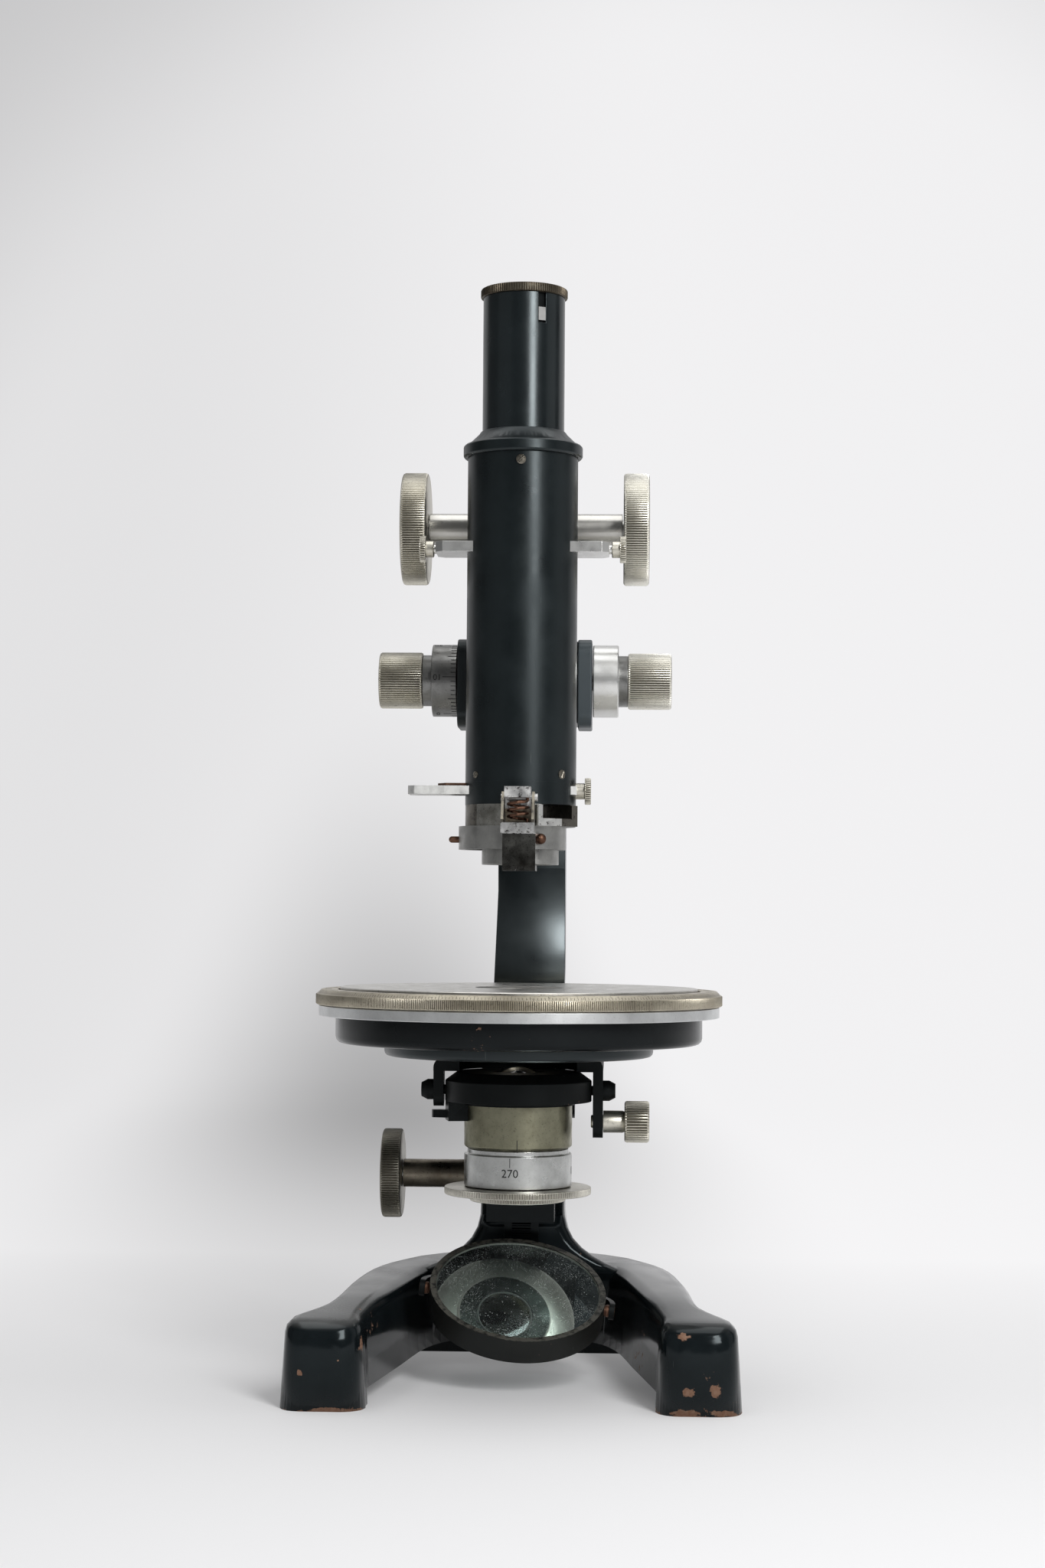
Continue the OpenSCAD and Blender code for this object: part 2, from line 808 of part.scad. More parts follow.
// Guide for the Bertrand bar inside the body tube
module bertrand_guide()
  color("#2a2d2e")
    difference() {
      ring(tube_r - tube_wall, 7, bertrand_z - 3.4, bertrand_z + bar_h + 3.4);
      box(
        [-2 * tube_r, -bar_w / 2 - run_gap, bertrand_z - run_gap],
        [2 * tube_r, bar_w / 2 + run_gap, bertrand_z + bar_h + run_gap]
      );
    }

// Ring below the body tube that holds the analyzer
module analyzer_housing()
  color("#15191b")
    difference() {
      ring(tube_r, 9, analyzer_z, tube_z);
      box(
        [-2 * tube_r, -slider_w / 2 - run_gap, slider_z - run_gap],
        [2 * tube_r, slider_w / 2 + run_gap, slider_z + slider_h + run_gap]
      );
      box([-2 * tube_r, -4, slider_z + slider_h], [-8, 4, tube_z + 1]);
    }

// Leaf that presses on the analyzer bar
module analyzer_leaf()
  color("#4b3a2e")
    translate([0, 0, slider_z + slider_h + 0.15])
      linear_extrude(tube_z - slider_z - slider_h - 0.3)
        polygon([[-8, -4], [-8, 4], [-tube_r - 6, 4], [-tube_r - 8.5, 0.6], [-tube_r - 8.5, -0.6], [-tube_r - 6, -4]]);

// Ring with the slanting slot for a compensator and the flat frame round its mouth
comp_slot_w = 12.2;
comp_slot_h = comp_h - 2.1;
comp_slot_z = comp_z + 2.3;
comp_face = 16.5;
comp_face_w = 17;
module compensator_housing()
  color("#a7a79f")
    difference() {
      union() {
        translate([0, 0, comp_z])
          cylinder(r = comp_r, h = comp_h);
        rotate(-45)
          box([comp_face - 5, -comp_face_w / 2, comp_z], [comp_face, comp_face_w / 2, comp_z + comp_h - 0.2]);
      }
      translate([0, 0, comp_z - 1])
        cylinder(r = 9, h = comp_h + 2);
      rotate(-45)
        box(
          [-2 * comp_r, -comp_slot_w / 2, comp_slot_z],
          [2 * comp_r, comp_slot_w / 2, comp_slot_z + comp_slot_h]
        );
    }

// Drum in which the objective socket is centred
drum_bore = socket_r - clutch_x + 0.15;
screw_r = 1;
screw_z = clutch_z + 3.1;
left_screw_turn = 180;
right_screw_turn = -59;
module clutch_drum()
  color("#a3a29c")
    translate([clutch_x, 0, 0])
      difference() {
        ring(clutch_r, drum_bore, clutch_z, comp_z);
        for (a = [left_screw_turn, right_screw_turn])
          rotate(a)
            x_rod(screw_r, 0, 2 * clutch_r, 0, screw_z);
      }

// Socket for the objective, held in the drum by the centring screws
module objective_socket()
  color("#b3b2ac")
    difference() {
      translate([0, 0, socket_z])
        cylinder(r = socket_r, h = comp_z - socket_z - 0.2);
      translate([0, 0, socket_z - 1])
        cylinder(r = socket_bore, h = 8.9);
      translate([0, 0, socket_z])
        cylinder(r = 8.4, h = comp_z);
    }

// Two centring screws with rounded ends
screw_out = 3.1;
module centring_screws()
  color("#6d4532")
    difference() {
      translate([clutch_x, 0, screw_z])
        for (a = [[left_screw_turn, screw_r], [right_screw_turn, 1.65 * screw_r]])
          rotate(a[0]) {
            x_rod(screw_r, 5, clutch_r + 0.2, 0, 0);
            x_rod(a[1], clutch_r + 0.1, clutch_r + screw_out - a[1], 0, 0);
            translate([clutch_r + screw_out - a[1], 0, 0])
              sphere(r = a[1]);
          }
      translate([0, 0, clutch_z])
        cylinder(r = socket_r, h = clutch_h);
    }

// Fixed bracket of the objective clamp: cap above the spring and lugs for the pivot pin
cap_front = spring_y - spring_r - wire_r - 0.3;
module clamp_bracket()
  color("#b5b5ae")
    difference() {
      translate([clamp_x, 0, 0])
        union() {
          box([-lug_half, cap_front, cap_z], [lug_half, 4 - tube_r, cap_z + cap_h]);
          for (s = [-1, 1])
            translate([s * (lug_half - 0.6) - 0.6, 0, 0])
              box([0, clamp_pivot_y - 1.8, ledge_z + ledge_t + 3.5], [1.2, 4 - tube_r, cap_z + eps]);
          box([-lug_half, -tube_r - 0.9, ledge_z + ledge_t + 0.5], [lug_half, 4 - tube_r, cap_z + eps]);
          x_rod(clamp_pin_r, -lug_half - 1.3, lug_half + 1.9, clamp_pivot_y, clamp_pivot_z);
        }
      translate([0, 0, comp_z])
        cylinder(r = tube_r, h = 2 * analyzer_h + comp_h);
    }

// Coil spring between the cap and the lever's ledge, straight for one wire thickness at each end
spring_sides = 6;
spring_rings = 8 * spring_turns;
coil_low = ledge_z + ledge_t + 2 * wire_r;
coil_high = cap_z - 2 * wire_r;
coil_pitch = (coil_high - coil_low) / spring_turns;
coil_line = concat(
  [[spring_r, 0, ledge_z + ledge_t]],
  [
    for (i = [0 : spring_rings])
      let (a = 360 * i * spring_turns / spring_rings)
        [spring_r * cos(a), spring_r * sin(a), coil_low + (coil_high - coil_low) * i / spring_rings]
  ],
  [[spring_r, 0, cap_z]]
);
// A ring stands across the wire: level at the straight ends, upright along the coil
function wire_ring(i) =
  let (
    p = coil_line[i],
    n = len(coil_line) - 1,
    straight = i == 0 || i == n,
    bend = i == 1 || i == n - 1,
    out = [p[0], p[1], 0] / norm([p[0], p[1]]),
    tangent = [-out[1], out[0], 0],
    up = straight ? tangent * -1 : bend ? ([0, 0, 1] - tangent) / sqrt(2) : [0, 0, 1]
  ) [for (k = [0 : spring_sides - 1]) let (a = 360 * k / spring_sides) p + wire_r * (cos(a) * out + sin(a) * up)];
coil_points = [for (i = [2 : spring_rings]) each wire_ring(i)];
coil_gap = min([
  for (i = [0 : len(coil_points) - 1], j = [i + 1 : len(coil_points) - 1])
    if (abs(floor(i / spring_sides) - floor(j / spring_sides)) >= 4)
      norm(coil_points[i] - coil_points[j])
]);
module clamp_spring()
  color("#7a4a38")
    translate([clamp_x, spring_y, 0])
      loft([for (i = [0 : len(coil_line) - 1]) wire_ring(i)]);

// Eyepiece: knurled rim on a sleeve that slides into the tube
rim_h = 2.7;
rim_ribs = 80;
eyepiece_len = 34;
module eyepiece_body()
  color("#6b5a44")
    difference() {
      union() {
        translate([0, 0, draw_top])
          knurl(rim_r, rim_ribs, 0.25, rim_h);
        translate([0, 0, draw_top - eyepiece_len])
          cylinder(r = draw_bore - run_gap, h = eyepiece_len);
      }
      translate([0, 0, draw_top - eyepiece_len - 1])
        cylinder(r = 10.2, h = eyepiece_len - 1);
      translate([0, 0, draw_top - 3])
        cylinder(r = 7, h = rim_h + 4);
    }

// Eye lens near the rim and field lens at the sleeve's lower end
module eyepiece_lenses()
  color("#cfdad6", 0.5) {
    translate([0, 0, draw_top - 1.5])
      cylinder(r = 7, h = 2.6);
    translate([0, 0, draw_top - eyepiece_len])
      cylinder(r = 10.2, h = 3);
  }

// Bar with two apertures across the body tube
bar_left = 26.6;
bar_right = 26.9;
aperture_x = 8;
bar_chamfer = 2.2;
module bertrand_bar()
  color("#b9b9b3")
    difference() {
      translate([0, 0, bertrand_z])
        linear_extrude(bar_h)
          polygon([
            [-bar_left, -bar_w / 2 + bar_chamfer],
            [bar_chamfer - bar_left, -bar_w / 2],
            [bar_right - bar_chamfer, -bar_w / 2],
            [bar_right, -bar_w / 2 + bar_chamfer],
            [bar_right, bar_w / 2 - bar_chamfer],
            [bar_right - bar_chamfer, bar_w / 2],
            [bar_chamfer - bar_left, bar_w / 2],
            [-bar_left, bar_w / 2 - bar_chamfer]
          ]);
      for (x = [-aperture_x, aperture_x])
        translate([x, 0, bertrand_z - 1])
          cylinder(r = 6, h = bar_h + 2);
    }

module bertrand_lens()
  color("#cfdad6", 0.5)
    translate([-aperture_x, 0, bertrand_z + 0.4])
      cylinder(r = 6, h = bar_h - 0.8);

// Rod, collar and knurled disc at each end of the bar
disc_r = 4.1;
module bertrand_knobs()
  color("#b1b0a8")
    for (s = [0, 1])
      mirror([s, 0, 0])
        translate([s == 1 ? bar_left : bar_right, 0, bertrand_z + bar_h / 2])
          union() {
            x_rod(1.4, 0, 1, 0, 0);
            x_rod(2.55, 0.8, 3.6, 0, 0);
            x_knurl(disc_r, 32, 0.2, 3.5, 5.2, 0, 0);
          }

// Flat analyzer bar with a bevelled front end
analyzer_left = 34.5;
module analyzer_bar()
  color("#c9cac6")
    difference() {
      translate([0, 0, slider_z])
        linear_extrude(slider_h)
          polygon([
            [-analyzer_left, -slider_w / 2 + 2],
            [2 - analyzer_left, -slider_w / 2],
            [tube_r + 0.3, -slider_w / 2],
            [tube_r + 0.3, slider_w / 2],
            [2 - analyzer_left, slider_w / 2],
            [-analyzer_left, slider_w / 2 - 2]
          ]);
      for (x = [-16.4, 0])
        translate([x, 0, slider_z - 1])
          cylinder(r = 5.6, h = slider_h + 2);
    }

module analyzer_prism()
  color("#4a4f4c", 0.6)
    translate([0, 0, slider_z + 0.3])
      cylinder(r = 5.6, h = slider_h - 0.6);

// Knurled pull at the right end of the analyzer bar
module analyzer_knob()
  color("#aeaca2")
    translate([tube_r + 0.3, 0, slider_z + slider_h / 2])
      union() {
        x_rod(2.5, 0, 2.5, 0, 0);
        x_knurl(disc_r, 32, 0.2, 2.4, 4.3, 0, 0);
      }

// Spring lever of the objective clamp, with a notched plate and a hook below the socket
cheek_out = lug_half + 1.05;
cheek_t = 0.8;
lever_front = cap_front - 0.6;
lever_low = socket_z - 2.1;
lever_step = ledge_z - 2.7;
plate_half = cheek_out - 0.05;
plate_x = 0.5;
module clamp_lever()
  color("#55534e")
    translate([clamp_x, 0, 0])
      difference() {
        union() {
          box([-cheek_out, lever_front, ledge_z], [cheek_out, -clutch_r - 1.2, ledge_z + ledge_t]);
          translate([plate_x, 0, 0])
            union() {
              box([-plate_half, lever_front + 1.1, lever_low], [plate_half, lever_front + 2.3, ledge_z + eps]);
              box([-plate_half, lever_front + 0.8, lever_low], [plate_half, lever_front + 2.3, lever_step]);
              box([-plate_half, lever_front + 0.8, lever_low], [plate_half, 1.6 - socket_r, socket_z - 0.3]);
            }
          for (s = [-1, 1])
            translate([s * (cheek_out - cheek_t / 2) - cheek_t / 2, 0, 0])
              side_slab(0, cheek_t)
                polygon([
                  [lever_front + 0.5, ledge_z + 1],
                  [clamp_pivot_y + 1.7, ledge_z + 1],
                  [clamp_pivot_y + 1.7, clamp_pivot_z + 1],
                  [clamp_pivot_y + 1, clamp_pivot_z + 1.7],
                  [clamp_pivot_y - 1.4, clamp_pivot_z + 1.7],
                  [lever_front + 0.5, ledge_z + ledge_t + 1]
                ]);
        }
        x_rod(clamp_pin_r + run_gap, -2 * cheek_out, 2 * cheek_out, clamp_pivot_y, clamp_pivot_z);
        // Notch in the lower edge
        translate([plate_x + 0.4, lever_front + 4, lever_low])
          rotate([90, 0, 0])
            linear_extrude(5)
              polygon([[-1.5, -1], [1.5, -1], [1.5, 0], [0.8, 1.2], [-0.8, 1.2], [-1.5, 0]]);
        // Mouth of the hook
        translate([0, 0, lever_low - 1])
          cylinder(r = socket_bore + 0.6, h = 3);
      }

// Specimen disc, let into the graduated plate
module stage_top()
  color("#a9a69d")
    ring(stage_top_r, stage_hole_r, stage_z - stage_plate_t, stage_z);

// Rotating plate with its knurled rim, bevelled scale and bearing hub
rim_low = dial_z;
rim_high = stage_z - 2;
scale_r1 = stage_r - 0.5;
module stage_dial()
  color("#a19e93")
    difference() {
      union() {
        translate([0, 0, rim_low])
          knurl(stage_r, stage_ribs, 0.3, rim_high - rim_low);
        translate([0, 0, rim_high - eps])
          rotate_extrude()
            polygon([
              [0, 0],
              [scale_r1, 0],
              [scale_r1 - 1.2, stage_z - 0.7 - rim_high],
              [0, stage_z - 0.7 - rim_high]
            ]);
        translate([0, 0, drum_z + 0.6])
          cylinder(r = hub_r, h = dial_z - drum_z);
      }
      translate([0, 0, drum_z - 1])
        cylinder(r = stage_hole_r + 0.9, h = stage_z);
      translate([0, 0, stage_z - stage_plate_t])
        cylinder(r = stage_top_r, h = stage_plate_t);
    }

// Polished fixed ring below the rotating plate
module stage_ring()
  color("#c4c5c2")
    ring(stage_r - 0.9, stage_drum_r - 8, ring_z, ring_z + ring_h);

// Cast drum with the bearing of the stage
module stage_bearing()
  color("#121517")
    rotate_extrude()
      polygon(concat(
        [
          [hub_r + run_gap, drum_z],
          [stage_drum_r - 2, drum_z]
        ],
        [for (a = [-60 : 30 : 0]) [stage_drum_r - 2 + 2 * cos(a), drum_z + 2 + 2 * sin(a)]],
        [
          [stage_drum_r, ring_z],
          [hub_r + 10, ring_z],
          [hub_r + 10, dial_z - 0.1],
          [hub_r + run_gap, dial_z - 0.1]
        ]
      ));

// Disc below the drum, with a rounded edge
module stage_bracket()
  color("#121517")
    rotate_extrude()
      polygon(concat(
        [
          [stage_hole_r + 2, bracket_z],
          [bracket_r - 1.5, bracket_z]
        ],
        [for (a = [-60 : 30 : 0]) [bracket_r - 1.5 + 1.5 * cos(a), bracket_z + 1.5 + 1.5 * sin(a)]],
        [
          [bracket_r, drum_z],
          [stage_hole_r + 2, drum_z]
        ]
      ));

// Dovetail rail with the substage rack, running down to the mirror's bracket
rail_half = 5.5;
rail_low = mirror_z - fork_h;
rail_high = pivot_z + shelf_z - 2;
stem_r = 3;
module tail_rail()
  color("#15191b")
    difference() {
      union() {
        translate([0, 0, rail_low])
          linear_extrude(rail_high - rail_low)
            polygon([
              [-rail_half, rail_front + sub_module],
              [rail_half, rail_front + sub_module],
              [rail_half, rail_front + 2.2],
              [rail_half - 2, rail_back - 0.6],
              [rail_half - 2, rail_back],
              [2 - rail_half, rail_back],
              [2 - rail_half, rail_back - 0.6],
              [-rail_half, rail_front + 2.2]
            ]);
        side_slab(-rack_w / 2, rack_w / 2)
          polygon([
            for (p = rack_plan(sub_module, mirror_z + 9, rail_high, sub_z, 1.2))
              [rail_front - p[1], p[0]]
          ]);
        box(
          [-rail_half - 1.5, fork_r + fork_t + pass_gap, rail_low - 2],
          [rail_half + 1.5, rail_back, mirror_z + 6]
        );
      }
      y_rod(stem_r + run_gap, 0, rail_back + 1, 0, mirror_z);
    }

// Slide block that rides on the rail and carries the condenser
block_front = condenser_r + 0.7;
block_low = sub_z - 14.4;
block_half = 10.7;
sub_chamber = sub_pitch_r + addendum * sub_module + pass_gap;
sub_tip = rail_front - addendum * sub_module;
module substage_slide()
  color("#15191b")
    difference() {
      box([-block_half, block_front, block_low], [block_half, rail_back - 0.7, yoke_z]);
      translate([0, 0, block_low - 1])
        linear_extrude(yoke_z - block_low + 2)
          polygon([
            [-rail_half - run_gap, rail_front + sub_module - run_gap],
            [rail_half + run_gap, rail_front + sub_module - run_gap],
            [rail_half + run_gap, rail_front + 2.2 + run_gap],
            [rail_half - 2 + run_gap, rail_back - 0.6],
            [rail_half - 2 + run_gap, rail_back + 1],
            [2 - rail_half - run_gap, rail_back + 1],
            [2 - rail_half - run_gap, rail_back - 0.6],
            [-rail_half - run_gap, rail_front + 2.2 + run_gap]
          ]);
      box([-rack_w / 2 - pass_gap, sub_tip - pass_gap, block_low - 1], [rack_w / 2 + pass_gap, rail_front + 1, yoke_z + 1]);
      x_rod(sub_chamber, -2 * block_half, pinion_half + pass_gap, sub_y, sub_z);
      x_rod(sub_shaft_r + run_gap, 0, block_half - 2, sub_y, sub_z);
    }

// Black yoke with two legs that hold the condenser between conical screws
yoke_front = 4;
leg_depth = 7;
left_leg_z = condenser_z - 1.8;
right_leg_z = clamp_z - 5;
module yoke_screw(x0, r0)
  union() {
    x_rod(r0, x0, x0 + 1.9, 0, pivot_screw_z);
    translate([x0 + 1.9, 0, pivot_screw_z])
      rotate([0, 90, 0])
        cylinder(r1 = r0, r2 = 2.15, h = 1.9);
  }
clamp_pin = 2;
yoke_corner = 3;
module substage_yoke()
  color("#101314")
    difference() {
      union() {
        difference() {
          box([-yoke_half, -yoke_front, yoke_z], [yoke_half, rail_front + 1, yoke_z + yoke_h]);
          translate([0, 0, yoke_z - 1])
            cylinder(r = condenser_r - 4.5, h = yoke_h + 2);
          box([4.5 - condenser_r, -yoke_front - 1, yoke_z - 1], [condenser_r - 4.5, 0, yoke_z + yoke_h + 1]);
        }
        for (leg = [[-yoke_half, left_leg_z], [yoke_half - leg_t, right_leg_z]])
          union() {
            box([leg[0], -leg_depth / 2, leg[1] + leg_depth / 2], [leg[0] + leg_t, leg_depth / 2, yoke_z + eps]);
            x_rod(leg_depth / 2, leg[0], leg[0] + leg_t, 0, leg[1] + leg_depth / 2);
          }
        for (s = [0, 1])
          mirror([s, 0, 0])
            union() {
              x_rod(1.5, condenser_r - 0.1, yoke_half + 0.5, 0, pivot_screw_z);
              yoke_screw(yoke_half, 3.15);
            }
      }
      x_rod(clamp_pin + run_gap, 0, 2 * yoke_half, 0, clamp_z);
      translate([0, 0, condenser_z - 1])
        cylinder(r = condenser_r, h = condenser_h + 1);
      for (s = [0, 1])
        mirror([s, 0, 0])
          translate([yoke_half - yoke_corner, 0, yoke_z + yoke_h - yoke_corner])
            difference() {
              box([0, -2 * yoke_front, 0], [yoke_corner + 1, rail_front + 2, yoke_corner + 1]);
              y_rod(yoke_corner, -2 * yoke_front - 1, rail_front + 3, 0, 0);
            }
      // Passage for the rack and its rail
      box(
        [-rail_half - pass_gap, sub_tip - pass_gap, yoke_z - 1],
        [rail_half + pass_gap, rail_front + 2, yoke_z + yoke_h + 1]
      );
    }

// Bearing sleeve of the substage pinion
sub_knob_in = 37.7;
sub_knob_t = 6.3;
sub_shaft_r = 2.5;
sub_sleeve_r = 4.45;
module substage_sleeve()
  color("#7b7568")
    difference() {
      union() {
        x_rod(sub_chamber, -block_half, -rail_half - pass_gap, sub_y, sub_z);
        x_rod(sub_sleeve_r, knob_gap - sub_knob_in, -block_half, sub_y, sub_z);
      }
      x_rod(sub_shaft_r + run_gap, -sub_knob_in, 0, sub_y, sub_z);
    }

// Black ring of the condenser with a chamfered top
lens_seat = 8;
module condenser_ring()
  color("#101314")
    rotate_extrude()
      polygon([
        [sleeve_bore, condenser_z],
        [condenser_r, condenser_z],
        [condenser_r, condenser_z + condenser_h],
        [condenser_r - 3.7, condenser_top],
        [lens_seat, condenser_top],
        [lens_seat, condenser_top - 3.5],
        [sleeve_bore, condenser_top - 5.5]
      ]);

// Domed top lens of the condenser
dome_h = 1.7;
dome_r = 12.5;
module condenser_lens()
  color("#b9b382", 0.6)
    intersection() {
      translate([0, 0, condenser_top + dome_h - dome_r])
        sphere(r = dome_r);
      translate([0, 0, condenser_top - 3.5])
        cylinder(r = lens_seat, h = 3.5 + dome_h);
    }

// Tarnished sleeve that takes the polarizer from below
module condenser_sleeve()
  color("#8e8a72")
    rotate_extrude()
      polygon([
        [sleeve_bore, sleeve_z],
        [sleeve_r - 1, sleeve_z],
        [sleeve_r, sleeve_z + 0.8],
        [sleeve_r, condenser_z],
        [sleeve_bore, condenser_z]
      ]);

// Substage pinion, cut on its shaft, with one tooth pointing at the rack
module substage_pinion()
  color("#8d8b84")
    union() {
      x_rod(sub_shaft_r, 2 - sub_knob_in - sub_knob_t, block_half - 2.3, sub_y, sub_z);
      translate([-pinion_half, sub_y, sub_z])
        rotate([0, 90, 0])
          linear_extrude(2 * pinion_half)
            rotate(90)
              polygon(pinion_plan(sub_module, sub_teeth));
    }

sub_ribs = 70;
module substage_knob()
  color("#6f6c62")
    difference() {
      x_knurl(sub_knob_r, sub_ribs, 0.4, -sub_knob_in - sub_knob_t, -sub_knob_in, sub_y, sub_z);
      x_rod(sub_shaft_r, 2 - sub_knob_in - sub_knob_t, 0, sub_y, sub_z);
    }

// Clamp screw of the condenser with a fluted head
head_r = 6.35;
module condenser_screw()
  color("#a8a698")
    union() {
      x_rod(clamp_pin, yoke_half - leg_t - 0.6, yoke_half + 1, 0, clamp_z);
      x_rod(3.4, yoke_half + 0.1, yoke_half + 6.7, 0, clamp_z);
      x_knurl(head_r, 24, 0.45, yoke_half + 6.6, yoke_half + 14.2, 0, clamp_z);
    }

// Collar of the iris with its lever at the front left
iris_turn = 190;
module iris_lever()
  color("#17191a")
    difference() {
      union() {
        translate([0, 0, condenser_z - 1])
          cylinder(r = sleeve_r + 0.9, h = 0.9);
        rotate(iris_turn) {
          box([sleeve_r - 1, -4.2, condenser_z - 5.9], [sleeve_r + 5.5, 4.2, condenser_z - 0.1]);
          translate([sleeve_r, 0, condenser_z - 5.2])
            linear_extrude(2.4)
              polygon([[3.2, -3.8], [7.7, -4.6], [9.7, -3.9], [9.5, -2.4], [5.2, -0.5], [3.2, 0.5]]);
        }
      }
      translate([0, 0, condenser_z - 8])
        cylinder(r = sleeve_r + run_gap, h = 9);
    }

// Graduated ring of the polarizer with a groove and a spigot in the sleeve
spigot_h = 9;
polar_bore = sleeve_bore - 3;
module polarizer_scale()
  color("#b5b8b8")
    rotate_extrude()
      polygon([
        [polar_bore, scale_z],
        [scale_r, scale_z],
        [scale_r, scale_top],
        [scale_r - 1, scale_top + 0.1],
        [scale_r - 1, sleeve_z - 0.1],
        [sleeve_bore - run_gap, sleeve_z - 0.1],
        [sleeve_bore - run_gap, sleeve_z + spigot_h],
        [polar_bore, sleeve_z + spigot_h]
      ]);

// Knurled rim and lower cap of the polarizer
polarizer_ribs = 100;
module polarizer_rim()
  color("#a4a297")
    difference() {
      union() {
        translate([0, 0, scale_z - 2.5])
          knurl(rim2_r, polarizer_ribs, 0.25, 2.2);
        ring(scale_r - 1, 9, scale_z - 0.4, scale_z);
        translate([0, 0, scale_z - 4.6])
          knurl(14.7, 72, 0.2, 2.2);
      }
      translate([0, 0, scale_z - 5])
        cylinder(r = 9.5, h = 6);
    }

module polarizer_disc()
  color("#3f4541", 0.6)
    translate([0, 0, scale_z - 3])
      cylinder(r = 9.5, h = 1.6);

// The mirror's fork and mirror are rolled together about the stem
module rolled()
  translate([0, 0, mirror_z])
    rotate([0, mirror_roll, 0])
      children();

module mirror_fork()
  color("#1a1c1c")
    rolled()
      difference() {
        union() {
          translate([0, 0, -fork_h / 2])
            rotate_extrude(angle = 180)
              translate([fork_r, 0])
                square([fork_t, fork_h]);
          for (s = [-1, 1])
            x_rod(fork_h / 2, s > 0 ? fork_r : -fork_r - fork_t, s > 0 ? fork_r + fork_t : -fork_r, 0, 0);
          y_rod(stem_r, fork_r + 0.5, rail_back + 0.4, 0, 0);
        }
        x_rod(pivot_r, -2 * fork_r, 2 * fork_r, 0, 0);
      }

// Brown pivot screws that carry the mirror in its fork
pivot_r = 1.6;
module mirror_pivots()
  color("#6a4a34")
    rolled()
      for (s = [0, 1])
        mirror([s, 0, 0])
          union() {
            x_rod(pivot_r, mirror_r - 1.5, fork_r + fork_t + 0.1, 0, 0);
            x_rod(1.85, mirror_r + 0.3, fork_r, 0, 0);
          }

module leaning()
  rolled()
    rotate([mirror_lean, 0, 0])
      children();

// Frame that holds a plane glass in front and a concave glass behind
glass_r = mirror_r - 1.8;
module mirror_frame()
  color("#22211f")
    leaning()
      difference() {
        translate([0, 0, -mirror_t / 2])
          cylinder(r = mirror_r, h = mirror_t);
        translate([0, 0, mirror_t / 2 - 2.6])
          cylinder(r = glass_r, h = 3);
        translate([0, 0, -mirror_t / 2 - 0.4])
          cylinder(r = glass_r, h = 3);
        x_rod(pivot_r + run_gap, -2 * mirror_r, 2 - mirror_r, 0, 0);
        x_rod(pivot_r + run_gap, mirror_r - 2, 2 * mirror_r, 0, 0);
      }

module plane_mirror()
  color("#c6d2d2")
    leaning()
      translate([0, 0, mirror_t / 2 - 2.6])
        cylinder(r = glass_r, h = 1.9);

// Concave glass, ground to a shallow bowl
bowl_r = 160;
function bowl_depth(r) = (glass_r * glass_r - r * r) / (2 * bowl_r);
module concave_mirror()
  color("#b5c2c2")
    leaning()
      translate([0, 0, -mirror_t / 2 + 0.2])
        rotate_extrude()
          polygon(concat(
            [[0, 2.4]],
            [for (r = [0 : glass_r / 4 : glass_r]) [r, bowl_depth(r)]],
            [[glass_r, 2.4]]
          ));

echo(least_gap_between_spring_turns = coil_gap);

module placed()
  translate([0, axis_y, 0])
    children();

placed() foot();
placed() pivot_axle();
placed() limb();
placed() fine_housing();
placed() fine_covers();
placed() stage_bracket();
placed() stage_bearing();
placed() stage_ring();
placed() tail_rail();
placed() fine_shaft();
placed() fine_drums();
placed() fine_knob_left();
placed() fine_knob_right();
placed() focus_carriage();
placed() coarse_sleeves();
placed() coarse_pinion();
placed() coarse_knob_left();
placed() coarse_knob_right();
placed() body_tube();
placed() tube_shoulder();
placed() eyepiece_tube();
placed() tube_slide();
placed() bertrand_guide();
placed() analyzer_housing();
placed() analyzer_leaf();
placed() compensator_housing();
placed() clutch_drum();
placed() objective_socket();
placed() centring_screws();
placed() clamp_bracket();
placed() clamp_spring();
placed() eyepiece_body();
placed() eyepiece_lenses();
placed() bertrand_bar();
placed() bertrand_lens();
placed() bertrand_knobs();
placed() analyzer_bar();
placed() analyzer_prism();
placed() analyzer_knob();
placed() clamp_lever();
placed() stage_top();
placed() stage_dial();
placed() substage_slide();
placed() substage_yoke();
placed() substage_sleeve();
placed() condenser_ring();
placed() condenser_lens();
placed() condenser_sleeve();
placed() substage_pinion();
placed() substage_knob();
placed() condenser_screw();
placed() iris_lever();
placed() polarizer_scale();
placed() polarizer_rim();
placed() polarizer_disc();
placed() mirror_fork();
placed() mirror_pivots();
placed() mirror_frame();
placed() plane_mirror();
placed() concave_mirror();
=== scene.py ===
"""Polarizing microscope: looks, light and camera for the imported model."""

import json
import math

import bmesh
import bpy
from mathutils import Matrix, Vector

